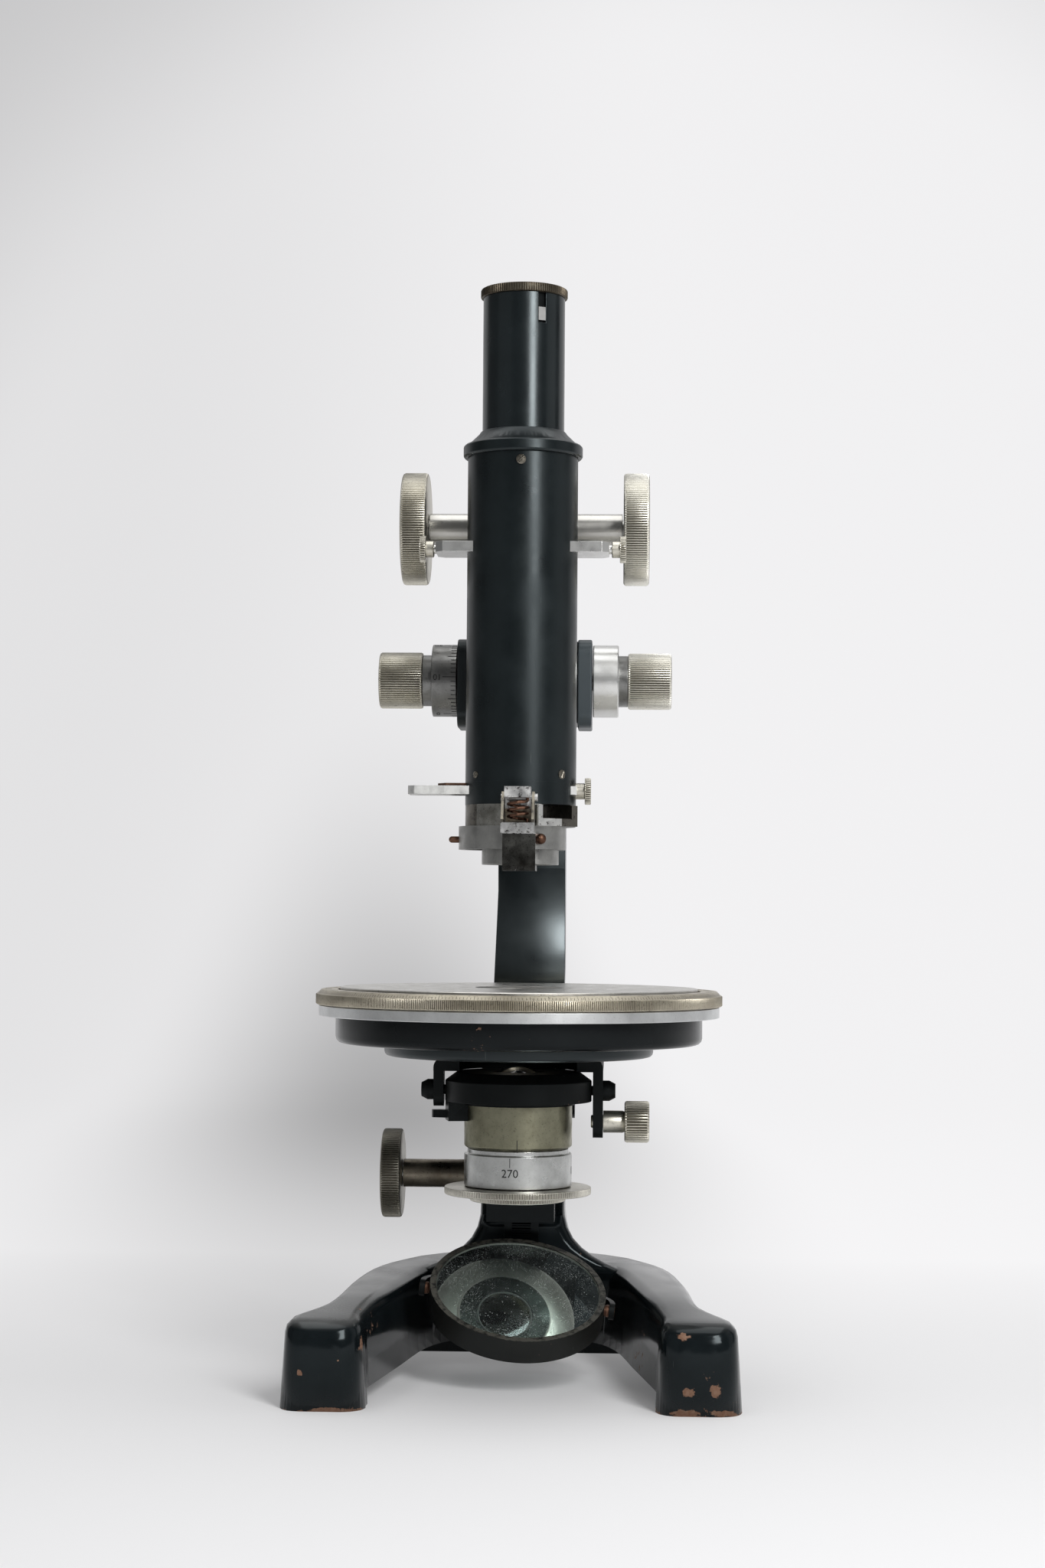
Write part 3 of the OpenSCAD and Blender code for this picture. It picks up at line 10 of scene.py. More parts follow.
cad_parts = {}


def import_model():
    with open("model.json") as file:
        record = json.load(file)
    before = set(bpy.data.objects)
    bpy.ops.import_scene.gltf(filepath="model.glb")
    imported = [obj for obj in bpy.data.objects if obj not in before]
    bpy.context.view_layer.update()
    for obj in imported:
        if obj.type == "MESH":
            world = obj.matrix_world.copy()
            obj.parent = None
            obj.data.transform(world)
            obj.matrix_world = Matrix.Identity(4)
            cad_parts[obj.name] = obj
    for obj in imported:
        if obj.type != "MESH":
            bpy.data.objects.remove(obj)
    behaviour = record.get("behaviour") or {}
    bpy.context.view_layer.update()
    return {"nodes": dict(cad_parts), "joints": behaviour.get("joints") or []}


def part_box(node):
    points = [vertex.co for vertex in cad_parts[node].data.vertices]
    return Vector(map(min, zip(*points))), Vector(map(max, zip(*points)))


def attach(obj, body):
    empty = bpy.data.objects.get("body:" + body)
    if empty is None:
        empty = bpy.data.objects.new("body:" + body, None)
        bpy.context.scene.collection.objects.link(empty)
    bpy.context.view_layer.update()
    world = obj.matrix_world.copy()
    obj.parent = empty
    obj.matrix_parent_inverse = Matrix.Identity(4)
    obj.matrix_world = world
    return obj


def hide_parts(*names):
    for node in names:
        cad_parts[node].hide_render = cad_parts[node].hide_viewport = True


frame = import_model()
nodes = frame["nodes"]

MM = 0.001
JOINTS = {joint["name"]: joint for joint in frame["joints"]}
AXIS_Y = JOINTS["stage_turn"]["pos_m"][1] / MM  # the optical axis, in millimetres from the origin
UP = (0, 0, 1)
SIDES = ((-1, "left"), (1, "right"))


def at(x, y, z):
    """A point given in millimetres round the optical axis."""
    return Vector((x, y + AXIS_Y, z)) * MM


def millimetres(length):
    """Metres to millimetres, without the noise of single precision."""
    return round(length / MM, 3)


def pivot(joint):
    """Where a joint turns, in millimetres round the optical axis."""
    x, y, z = (millimetres(v) for v in JOINTS[joint]["pos_m"])
    return x, y - AXIS_Y, z


def mid_z(node):
    """Height of the middle of a CAD node, in millimetres."""
    low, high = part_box(node)
    return millimetres((low.z + high.z) / 2)


def knob_size(node):
    """Radius of a CAD knob that lies along x, how far from the middle it starts, and its length."""
    low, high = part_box(node)
    near, far = sorted((abs(low.x), abs(high.x)))
    return millimetres((high.z - low.z) / 2), millimetres(near), millimetres(far - near)


# Places in millimetres round the optical axis, with z up from the table; a pair is y and z
COARSE = pivot("coarse_focus")[1:]
FINE = pivot("fine_focus")[1:]
SUBSTAGE_GEAR = pivot("substage_focus")[1:]
CONDENSER_SCREW = pivot("condenser_clamp")[1:]
BERTRAND_Z = mid_z("bertrand_bar")
ANALYZER_Z = mid_z("analyzer_knob")
EYEPIECE_Z = millimetres(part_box("eyepiece_tube")[1].z)
MIRROR = pivot("mirror_tilt")

# Radii, and heights of the stage's bevel and of its flat ring, in millimetres
STAGE_R = millimetres(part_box("stage_dial")[1].x)
STAGE_Z = 119.7
STAGE_BEVEL_Z = STAGE_Z - 1.25
FINE_DRUM_R = FINE[1] - millimetres(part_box("fine_drums")[0].z) + 0.06  # its dress stands off the solid

# The mirror leans back by TILT, and its fork is turned sideways by ROLL
tilt_axis = JOINTS["mirror_tilt"]["axis"]
TILT, ROLL = math.radians(26.5), math.atan2(-tilt_axis[2], tilt_axis[0])
MIRROR_UP = (math.cos(TILT) * math.sin(ROLL), -math.sin(TILT), math.cos(TILT) * math.cos(ROLL))

# Numbers of the shaders, which are in metres
LIMB_X = 0.0017  # the middle of the limb's front
MIRROR_SLOPE = 0.055  # how much flatter the mirror sits than its frame


# Materials
def new_material(name):
    """A material and its shader."""
    m = bpy.data.materials.new(name)
    m.use_nodes = True
    return m, m.node_tree.nodes["Principled BSDF"]


class Nodes:
    """Short names for the shader nodes used below."""

    def __init__(self, material):
        self.tree = material.node_tree
        node = self.tree.nodes.new("ShaderNodeTexCoord")
        self.coords, self.facing = node.outputs["Object"], node.outputs["Normal"]

    def link(self, a, b):
        self.tree.links.new(a, b)

    def scaled(self, scale, turn=(0, 0, 0)):
        n = self.tree.nodes.new("ShaderNodeMapping")
        n.inputs["Scale"].default_value = scale
        n.inputs["Rotation"].default_value = turn
        self.link(self.coords, n.inputs["Vector"])
        return n.outputs["Vector"]

    def noise(self, scale, detail=4, rough=0.55, vector=None):
        n = self.tree.nodes.new("ShaderNodeTexNoise")
        n.inputs["Scale"].default_value = scale
        n.inputs["Detail"].default_value = detail
        n.inputs["Roughness"].default_value = rough
        self.link(vector or self.coords, n.inputs["Vector"])
        return n.outputs["Fac"]

    def cells(self, scale):
        n = self.tree.nodes.new("ShaderNodeTexVoronoi")
        n.inputs["Scale"].default_value = scale
        self.link(self.coords, n.inputs["Vector"])
        return n.outputs["Distance"]

    def remap(self, value, low, high, a=0.0, b=1.0):
        n = self.tree.nodes.new("ShaderNodeMapRange")
        n.inputs["From Min"].default_value = low
        n.inputs["From Max"].default_value = high
        n.inputs["To Min"].default_value = a
        n.inputs["To Max"].default_value = b
        self.link(value, n.inputs["Value"])
        return n.outputs["Result"]

    def smooth(self, value, low, high, a=0.0, b=1.0):
        n = self.remap(value, low, high, a, b).node
        n.interpolation_type = "SMOOTHSTEP"
        return n.outputs["Result"]

    def math(self, operation, a, b):
        n = self.tree.nodes.new("ShaderNodeMath")
        n.operation = operation
        for k, v in enumerate((a, b)):
            if isinstance(v, (int, float)):
                n.inputs[k].default_value = v
            else:
                self.link(v, n.inputs[k])
        return n.outputs[0]

    def plus(self, a, b):
        return self.math("ADD", a, b)

    def minus(self, a, b):
        return self.math("SUBTRACT", a, b)

    def times(self, a, b):
        return self.math("MULTIPLY", a, b)

    def most(self, a, b):
        return self.math("MAXIMUM", a, b)

    def square(self, a):
        return self.times(a, a)

    def length(self, a, b):
        return self.math("SQRT", self.plus(self.square(a), self.square(b)), 0)

    def mix(self, factor, a, b):
        n = self.tree.nodes.new("ShaderNodeMix")
        n.data_type = "RGBA"
        for socket, v in ((n.inputs[0], factor), (n.inputs[6], a), (n.inputs[7], b)):
            if isinstance(v, (int, float)):
                socket.default_value = v
            elif isinstance(v, tuple):
                socket.default_value = (*v, 1)
            else:
                self.link(v, socket)
        return n.outputs[2]

    def above(self, point, direction, height):
        """How far a point of the surface lies above a plane, in metres."""
        away = self.vector("SUBTRACT", self.coords, tuple(at(*point)))
        return self.minus(self.vector("DOT_PRODUCT", away, direction, "Value"), height * MM)

    def bump(self, height, strength, distance, normal=None):
        n = self.tree.nodes.new("ShaderNodeBump")
        if normal:
            self.link(normal, n.inputs["Normal"])
        n.inputs["Strength"].default_value = strength
        n.inputs["Distance"].default_value = distance
        self.link(height, n.inputs["Height"])
        return n.outputs["Normal"]

    def vector(self, operation, a, b, output="Vector"):
        n = self.tree.nodes.new("ShaderNodeVectorMath")
        n.operation = operation
        self.link(a, n.inputs[0])
        n.inputs[1].default_value = b
        return n.outputs[output]

    def axis(self, name, vector=None):
        n = self.tree.nodes.new("ShaderNodeSeparateXYZ")
        self.link(vector or self.coords, n.inputs[0])
        return n.outputs[name]


def swell(n):
    """Height of the limb's polished front, rounded across and swelling above the stage, in metres.

    The solid is flat there. The swell is highest 126 mm above the table."""
    front = n.remap(n.axis("Y", n.facing), -0.6, -0.9)
    arch = n.times(n.square(n.minus(n.axis("X"), LIMB_X)), -10.0)
    bow = n.times(n.square(n.remap(n.axis("Z"), 0.118, 0.158, -0.008, 0.032)), -18.4)
    foot = n.remap(n.axis("Z"), 0.096, 0.118, -0.0165, 0.0)
    head = n.remap(n.axis("Z"), 0.158, 0.18, 0.0, -0.0227)
    return n.times(n.plus(arch, n.plus(bow, n.plus(foot, head))), front)


def dusty_film(n, cloud, colour, rough, top_dust_and_sheen):
    """Grey dust with painted sheen on the faces that look up, more of both to the left."""
    film = n.times(n.smooth(n.axis("Z", n.facing), 0.5, 0.95), n.remap(cloud, 0.3, 0.7, 0.6, 1.0))
    film = n.times(film, n.remap(n.axis("X"), -0.02, 0.02, 0.9 * top_dust_and_sheen, 0.35 * top_dust_and_sheen))
    return n.mix(film, colour, (0.21, 0.21, 0.205)), n.plus(rough, n.times(film, 0.3))


def chipped(n, colour, rough, chips, spots, low):
    """Brown primer where the lacquer has gone: in patches, in the certain chips and near the table."""
    bare = n.times(n.noise(420, 6, 0.7), n.noise(38, 4))
    bare = n.remap(bare, 0.44 - 0.1 * chips, 0.452 - 0.1 * chips)
    ragged = n.remap(n.noise(700, 5, 0.7), 0.3, 0.7, -0.45, 0.45)
    for x, y, z, rx, ry, rz in spots:
        away = n.vector("SUBTRACT", n.coords, tuple(at(x, y, z)))
        away = n.vector("DIVIDE", away, (rx * MM, ry * MM, rz * MM))
        away = n.vector("LENGTH", away, (0, 0, 0), "Value")
        bare = n.most(bare, n.remap(n.plus(away, ragged), 1.04, 0.96))
    if low > 0:
        climb = low * MM
        edge = n.plus(n.axis("Z"), n.remap(n.noise(160, 5, 0.7), 0.3, 0.7, -climb, climb))
        # only the toes are worn, not the arms behind them
        edge = n.plus(edge, n.remap(n.axis("Y"), -0.05, -0.04, 0, 0.01))
        bare = n.most(bare, n.remap(edge, 0.35 * climb, 0.2 * climb))
    primer = n.mix(n.noise(900, 3), (0.13, 0.045, 0.02), (0.30, 0.20, 0.14))
    return n.mix(bare, colour, primer), n.most(rough, n.remap(bare, 0, 1, 0.0, 0.6))


def rubbed(n, colour, point, direction, height, tone):
    """Another tone above the plane through point and height along direction, with a ragged border."""
    ragged = n.remap(n.noise(500, 5, 0.7), 0.3, 0.7, -0.3 * MM, 0.3 * MM)
    edge = n.plus(n.above(point, direction, height), ragged)
    return n.mix(n.remap(edge, 0, 0.15 * MM, 0, 0.85), colour, tone)


def lacquer(
    name, base, chips=0.0, scratches=0.3, roughness=0.2, specular=0.22, spots=(), low=0.0, tone_above=None,
    crown=False, top_dust_and_sheen=0.0,
):
    """Gloss stove lacquer with a little orange peel, dust, thin scratches and chips down to primer.

    spots are the chips that are certain; low is how far in millimetres the wear climbs from the table;
    worn is (point, direction, height, colour): above that plane the lacquer takes that colour; crown rounds
    the flat limb;
    dusty is how much grey dust with painted sheen lies on the faces that look up."""
    m, bsdf = new_material(name)
    n = Nodes(m)
    cloud = n.noise(60, 5)
    colour = n.mix(n.remap(cloud, 0.35, 0.75), base, tuple(c * 1.6 + 0.001 for c in base))
    dust = n.times(n.remap(n.noise(2600, 2), 0.74, 0.8), n.remap(n.noise(45, 3), 0.5, 0.75, 0.0, 0.35))
    colour = n.mix(dust, colour, (0.13, 0.125, 0.11))
    hair = n.noise(1.0, 2, 0.5, n.scaled((900, 900, 40), (0.25, 0.1, 0.4)))
    colour = n.mix(n.remap(hair, 0.75, 0.765, 0.0, scratches), colour, (0.10, 0.11, 0.11))
    rough = n.remap(cloud, 0.3, 0.8, roughness * 0.8, roughness * 1.4)
    # grey dust with painted sheen on the faces that look up
    if top_dust_and_sheen > 0:
        colour, rough = dusty_film(n, cloud, colour, rough, top_dust_and_sheen)
    if chips > 0:
        colour, rough = chipped(n, colour, rough, chips, spots, low)
    if tone_above:
        colour = rubbed(n, colour, *tone_above)
    n.link(rough, bsdf.inputs["Roughness"])
    n.link(colour, bsdf.inputs["Base Color"])
    normal = n.bump(n.noise(420, 2), 0.12, 0.0001)
    if crown:
        normal = n.bump(swell(n), 1.0, 1.0, normal)
    n.link(normal, bsdf.inputs["Normal"])
    bsdf.inputs["Specular IOR Level"].default_value = specular
    bsdf.inputs["Specular Tint"].default_value = (0.86, 0.97, 1.0, 1)
    return m


def metal(name, light, dark, roughness, pits, grain=(0, 0, 0), zones=(), even=False):
    """Plated or bare metal: tarnish in clouds, fine pits and, where asked, a turned or brushed grain.

    zones are (axis, low, high, colour) in millimetres from the origin: between low and high the surface has
    that colour, with dark pits; on the pitted nickel they are painted light and painted shade. An even
    metal is smoother and has less change of sheen."""
    m, bsdf = new_material(name)
    n = Nodes(m)
    colour = n.mix(n.remap(n.noise(90, 6, 0.65), 0.35, 0.7), light, dark)
    speck = n.remap(n.noise(1500, 4, 0.7), 0.56, 0.7, 0.0, pits)
    colour = n.mix(speck, colour, tuple(c * 0.35 for c in dark))
    for axis, low, high, tone in zones:
        pitted = n.mix(n.remap(n.noise(700, 5, 0.7), 0.54, 0.64), tone, (0.08, 0.075, 0.07))
        over = n.remap(n.axis(axis), low * MM, (low + 0.1) * MM)
        under = n.remap(n.axis(axis), high * MM, (high + 0.1) * MM, 1.0, 0.0)
        colour = n.mix(n.times(over, under), colour, pitted)
    n.link(colour, bsdf.inputs["Base Color"])
    bsdf.inputs["Metallic"].default_value = 1.0
    spread = 0.12 if even else 0.35
    rough = n.remap(n.noise(260, 5), 0.3, 0.7, roughness * (1 - spread), roughness * (1 + spread))
    n.link(rough, bsdf.inputs["Roughness"])
    height = n.noise(1.0, 3, 0.6, n.scaled(grain)) if any(grain) else n.noise(1800, 3)
    n.link(n.bump(height, 0.04 if even else 0.25, 0.00006), bsdf.inputs["Normal"])
    return m


def glass(name, colour):
    """Lens glass with a faint film in clouds."""
    m, bsdf = new_material(name)
    n = Nodes(m)
    n.link(n.remap(n.noise(300, 3), 0.4, 0.8, 0.02, 0.1), bsdf.inputs["Roughness"])
    bsdf.inputs["Base Color"].default_value = (*colour, 1)
    bsdf.inputs["Transmission Weight"].default_value = 1.0
    bsdf.inputs["IOR"].default_value = 1.5
    return m


def silvered(name):
    """Old silvered glass with dust in small dots and a thin grey film."""
    m, bsdf = new_material(name)
    n = Nodes(m)
    dots = n.times(n.remap(n.cells(900), 0.16, 0.1), n.remap(n.noise(160, 3), 0.42, 0.62))
    small = n.times(n.remap(n.noise(3800, 2), 0.6, 0.66), n.remap(n.noise(90, 4), 0.35, 0.65, 0.05, 0.7))
    film = n.remap(n.noise(70, 4), 0.3, 0.8, 0.0, 0.03)
    dust = n.most(n.most(dots, small), film)
    n.link(n.mix(dust, (0.74, 0.83, 0.82), (0.42, 0.44, 0.42)), bsdf.inputs["Base Color"])
    n.link(n.remap(dust, 0.0, 1.0, 1.0, 0.1), bsdf.inputs["Metallic"])
    n.link(n.remap(dust, 0.0, 1.0, 0.03, 0.6), bsdf.inputs["Roughness"])
    # the glass sits a little flatter in its frame than the frame leans
    along = n.vector("DOT_PRODUCT", n.coords, (0, math.cos(TILT), math.sin(TILT)), "Value")
    n.link(n.bump(n.times(along, MIRROR_SLOPE), 1.0, 1.0), bsdf.inputs["Normal"])
    return m


def plain(name, colour, roughness):
    """Matt paint or ink, a little uneven."""
    m, bsdf = new_material(name)
    n = Nodes(m)
    n.link(n.mix(n.noise(700, 3), colour, tuple(c * 0.7 for c in colour)), bsdf.inputs["Base Color"])
    n.link(n.remap(n.noise(400, 3), 0.3, 0.7, roughness * 0.8, roughness * 1.2), bsdf.inputs["Roughness"])
    return m


# Each chip is (x, y, z, rx, ry, rz)
TOE_CHIPS = (
    (59.0, -57.0, 7.2, 1.8, 4, 2.2), (51.2, -57.0, 7.0, 1.9, 5, 1.3), (49.8, -57.0, 22.6, 2.2, 5, 1.3),
    (61.5, -57.0, 1.0, 4.0, 5, 1.0), (50.5, -57.0, 1.0, 4.5, 5, 1.0), (-60.5, -56.5, 11.0, 0.9, 4, 0.9),
    (-42.5, -50.5, 18.5, 1.1, 4, 2.6), (-52.0, -57.0, 0.6, 5.0, 5, 0.7), (-49.3, -57, 14.6, 0.4, 3, 0.4),
)
SKIN = {
    "lacquer": lacquer("lacquer", (0.0026, 0.0046, 0.0054), roughness=0.33, scratches=0.35, specular=0.45),
    "draw": lacquer("draw_lacquer", (0.003, 0.0048, 0.0056), roughness=0.22, scratches=0.5, specular=0.62),
    # the foot's faces that look up get grey dust with painted sheen
    "cast": lacquer(
        "cast_lacquer", (0.0045, 0.0065, 0.0075), chips=0.35, scratches=0.2, roughness=0.14, specular=0.2,
        spots=TOE_CHIPS, low=1.5, top_dust_and_sheen=0.45,
    ),
    "limb": lacquer(
        "limb_lacquer", (0.0025, 0.0042, 0.0052), scratches=0.15, roughness=0.32, specular=1.0, crown=True,
    ),
    "satin": lacquer("satin_black", (0.0045, 0.005, 0.005), chips=0.2, roughness=0.42, specular=0.12),
    "nickel": metal("aged_nickel", (0.68, 0.655, 0.575), (0.54, 0.515, 0.445), 0.38, 0.6, even=True),
    "grey_nickel": metal("worn_nickel", (0.68, 0.66, 0.595), (0.54, 0.52, 0.46), 0.4, 0.5, even=True),
    "iron_knob": metal("dark_nickel", (0.30, 0.285, 0.245), (0.19, 0.18, 0.145), 0.4, 0.6, even=True),
    "steel": metal("bright_steel", (0.76, 0.76, 0.745), (0.66, 0.66, 0.64), 0.3, 0.15, even=True),
    "ring": metal("polished_ring", (0.72, 0.735, 0.735), (0.56, 0.57, 0.57), 0.36, 0.2, even=True),
    "rim": metal("stage_rim", (0.50, 0.46, 0.37), (0.34, 0.305, 0.24), 0.4, 0.8, even=True),
    "plate": metal("stage_plate", (0.58, 0.57, 0.54), (0.49, 0.48, 0.45), 0.38, 0.5, (900, 900, 900)),
    # painted light on the compensator's frame right of x = 6 mm, and painted shade behind y = -23.3 mm
    # inside its window
    "cast_nickel": metal(
        "pitted_nickel", (0.54, 0.54, 0.505), (0.18, 0.175, 0.155), 0.38, 1.0,
        zones=(("X", 6, 40, (0.70, 0.70, 0.68)), ("Y", -23.3, 40, (0.16, 0.15, 0.13))),
    ),
    "drum": metal("matt_nickel", (0.40, 0.40, 0.385), (0.29, 0.29, 0.28), 0.42, 0.25),
    "brass": metal(
        "tarnished_brass", (0.29, 0.285, 0.205), (0.175, 0.165, 0.115), 0.4, 0.5, (200, 200, 2500),
    ),
    "sleeve": metal(
        "brown_sleeve", (0.22, 0.195, 0.155), (0.11, 0.092, 0.07), 0.38, 0.5, (300, 3000, 3000),
    ),
    "bronze": metal("brown_brass", (0.11, 0.092, 0.068), (0.055, 0.044, 0.031), 0.48, 0.6),
    "dark_steel": metal(
        "dark_steel", (0.11, 0.11, 0.102), (0.018, 0.017, 0.015), 0.33, 1.0,
        zones=(("Z", 167.0, 170.4, (0.64, 0.64, 0.63)), ("Z", 170.4, 190, (0.20, 0.185, 0.15))),
    ),
    "rust": metal("brown_steel", (0.20, 0.11, 0.075), (0.07, 0.036, 0.024), 0.5, 0.6),
    "scale": metal("scale_metal", (0.56, 0.57, 0.56), (0.40, 0.405, 0.395), 0.34, 0.3),
    "glass": glass("lens_glass", (0.86, 0.9, 0.88)),
    "amber": glass("lens_amber", (0.30, 0.27, 0.13)),
    "film": glass("polar_film", (0.18, 0.2, 0.19)),
    "mirror": silvered("silvered_glass"),
    "ink": plain("ink", (0.012, 0.012, 0.012), 0.6),
    "frame": lacquer(
        "mirror_lacquer", (0.010, 0.010, 0.009), chips=0.25, roughness=0.4, specular=0.2,
        tone_above=(MIRROR, MIRROR_UP, 3.88, (0.085, 0.082, 0.07)),
    ),
    "drum_black": lacquer("drum_lacquer", (0.004, 0.0046, 0.005), chips=0.1, roughness=0.2, specular=0.14),
    "dark_scale": metal("dark_scale", (0.25, 0.25, 0.243), (0.15, 0.15, 0.145), 0.36, 0.4),
    "cap": metal("cap_face", (0.045, 0.05, 0.045), (0.02, 0.024, 0.022), 0.4, 0.4),
    # a paler copy of the nickel for the knobs on the right: painted light
    "right_lit_nickel": metal("right_lit_nickel", (0.84, 0.825, 0.76), (0.70, 0.68, 0.61), 0.38, 0.5, even=True),
    "grime": metal("groove_grime", (0.14, 0.13, 0.105), (0.07, 0.062, 0.048), 0.55, 0.6),
    "bar": metal("bar_metal", (0.88, 0.88, 0.86), (0.70, 0.70, 0.68), 0.5, 0.2, (2000, 200, 200)),
    "dull": metal("dull_steel", (0.54, 0.53, 0.50), (0.46, 0.45, 0.42), 0.3, 0.1, even=True),
    "screw": metal("dark_screw", (0.34, 0.32, 0.27), (0.09, 0.08, 0.065), 0.36, 0.8),
    "bracket": metal(
        "bracket_metal", (0.42, 0.365, 0.285), (0.25, 0.21, 0.16), 0.4, 0.8,
        zones=(("Z", 174.7, 190, (0.68, 0.68, 0.67)),),
    ),
    "edge": metal("bezel_edge", (0.34, 0.37, 0.34), (0.20, 0.215, 0.195), 0.45, 0.5),
    # painted light: the covers right of x = 10 mm are lighter and bluer
    "cover": lacquer(
        "cover_lacquer", (0.005, 0.006, 0.0065), roughness=0.36, specular=0.5, scratches=0.5,
        tone_above=((0, 0, 0), (1, 0, 0), 10, (0.06, 0.072, 0.08)),
    ),
}

# Which solids of the frame have which material
LOOKS = {
    "lacquer": "fine_housing focus_carriage body_tube tube_shoulder analyzer_housing stage_bracket",
    "draw": "eyepiece_tube",
    "drum_black": "stage_bearing tail_rail substage_slide",
    "cover": "fine_covers",
    "cast": "foot",
    "limb": "limb",
    "satin": "bertrand_guide substage_yoke condenser_ring iris_lever mirror_fork pivot_axle",
    "nickel": "fine_knob_left fine_knob_right coarse_knob_left coarse_knob_right bertrand_knobs "
    "analyzer_knob condenser_screw polarizer_rim substage_knob",
    "steel": "fine_shaft coarse_pinion tube_slide bertrand_bar substage_pinion",
    "bar": "analyzer_bar",
    "dull": "coarse_sleeves",
    "ring": "stage_ring",
    "plate": "stage_top stage_dial",
    "cast_nickel": "compensator_housing",
    "bracket": "clamp_bracket",
    "drum": "clutch_drum objective_socket",
    "brass": "condenser_sleeve",
    "sleeve": "substage_sleeve",
    "bronze": "eyepiece_body",
    "dark_steel": "clamp_lever",
    "rust": "clamp_spring centring_screws analyzer_leaf mirror_pivots",
    "scale": "polarizer_scale",
    "dark_scale": "fine_drums",
    "glass": "eyepiece_lenses bertrand_lens",
    "amber": "condenser_lens",
    "film": "analyzer_prism polarizer_disc",
    "mirror": "plane_mirror concave_mirror",
    "frame": "mirror_frame",
}

# Width of the broken edges in millimetres: the foot's are rounded in its solid, and the castings' are wide
EDGE = 0.22
WIDE_EDGES = {"foot": 0.0, "limb": 0.9, "focus_carriage": 0.5, "fine_housing": 0.5, "fine_covers": 0.45}


def dress(node, material, width):
    """A CAD node keeps its mesh: it gets its material, smooth shading and broken edges."""
    solid = nodes[node]
    mesh = solid.data
    mesh.materials.clear()
    mesh.materials.append(material)
    if "custom_normal" in mesh.attributes:
        mesh.attributes.remove(mesh.attributes["custom_normal"])
    mesh.polygons.foreach_set("use_smooth", [True] * len(mesh.polygons))
    weld = solid.modifiers.new("weld", "WELD")
    weld.merge_threshold = 2e-6
    flat = solid.modifiers.new("flat", "DECIMATE")
    flat.decimate_type = "DISSOLVE"
    flat.angle_limit = math.radians(0.8)
    bevel = solid.modifiers.new("bevel", "BEVEL")
    bevel.width = width * MM
    bevel.segments = 2
    bevel.limit_method = "ANGLE"
    bevel.angle_limit = math.radians(32)
    bevel.harden_normals = True
    bevel.use_clamp_overlap = True


for look, names in LOOKS.items():
    for node in names.split():
        dress(node, SKIN[look], WIDE_EDGES.get(node, EDGE))


# Mesh helpers
def piece(name, verts, faces, material, body, smooth=35.0):
    """A new mesh in metres that rides on a body."""
    mesh = bpy.data.meshes.new(name)
    mesh.from_pydata([tuple(v) for v in verts], [], faces)
    mesh.validate()
    mesh.polygons.foreach_set("use_smooth", [True] * len(mesh.polygons))
    mesh.set_sharp_from_angle(angle=math.radians(smooth))
    mesh.materials.append(material)
    obj = bpy.data.objects.new(name, mesh)
    bpy.context.scene.collection.objects.link(obj)
    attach(obj, body)
    return obj


def turned(direction):
    """Rotation that takes the local z to a direction."""
    return Vector(direction).to_track_quat("Z", "Y").to_matrix()


def lathe_mesh(profile, segments, wave=None):
    """Rings from (radius, height, weight) rows; wave(i) is how far the radius dips at a weight of 1."""
    verts, faces, rings = [], [], []
    for r, h, weight in profile:
        if r < 1e-6:
            rings.append([len(verts)])
            verts.append(Vector((0, 0, h)))
            continue
        rings.append(range(len(verts), len(verts) + segments))
        for i in range(segments):
            a = 2 * math.pi * i / segments
            q = r - (weight * wave(i) if wave else 0)
            verts.append(Vector((q * math.cos(a), q * math.sin(a), h)))
    for lo, hi in zip(rings, rings[1:]):
        for i in range(segments):
            j = (i + 1) % segments
            if len(lo) == 1:
                faces.append((lo[0], hi[j], hi[i]))
            elif len(hi) == 1:
                faces.append((lo[i], lo[j], hi[0]))
            else:
                faces.append((lo[i], lo[j], hi[j], hi[i]))
    return verts, faces


def lathe(name, profile, place, direction, material, body, segments=96, wave=None):
    """A turned piece from (radius, height) rows, which stands at place along direction."""
    rows = [(*p, 0.0)[:3] for p in profile]
    verts, faces = lathe_mesh(rows, segments, wave)
    turn = turned(direction)
    return piece(name, [at(*place) + turn @ v * MM for v in verts], faces, material, body)


RIB = (0.0, 0.0, 1.0, 1.0, 1.0)  # how deep the steps of one rib lie: its top, then its groove


def ribbed(
    name, radius, length, ribs, depth, chamfer, place, direction, material, body, front=(), back=(),
):
    """Ribbed disc from place along direction; front and back are (radius, height) rows of its ends."""
    shoulder, ease = radius - 0.3 * chamfer, 0.35 * chamfer
    rows = [
        *(back or [(0, 0)]), (radius - chamfer, 0), (shoulder, ease, 0.4), (radius, chamfer, 1),
        (radius, length - chamfer, 1), (shoulder, length - ease, 0.4), (radius - chamfer, length),
        *(front or [(0, length)]),
    ]
    steps = ribs * len(RIB)

    def wave(i):
        return depth * RIB[i % len(RIB)]

    knob = lathe(name, rows, place, direction, material, body, steps, wave)
    return grimy(knob, rows, steps, [r > 0.9 for r in RIB])


def grimy(knob, rows, segments, low):
    """Dark grime in the grooves; low says for each step of one rib whether it lies in the groove."""
    knob.data.materials.append(SKIN["grime"])
    deep = [len(r) > 2 and r[2] >= 1 for r in rows]
    for face in knob.data.polygons:
        row, i = divmod(face.index, segments)
        straight = row + 1 < len(rows) and deep[row] and deep[row + 1]
        if straight and low[i % len(low)] and low[(i + 1) % len(low)]:
            face.material_index = 1
    return knob


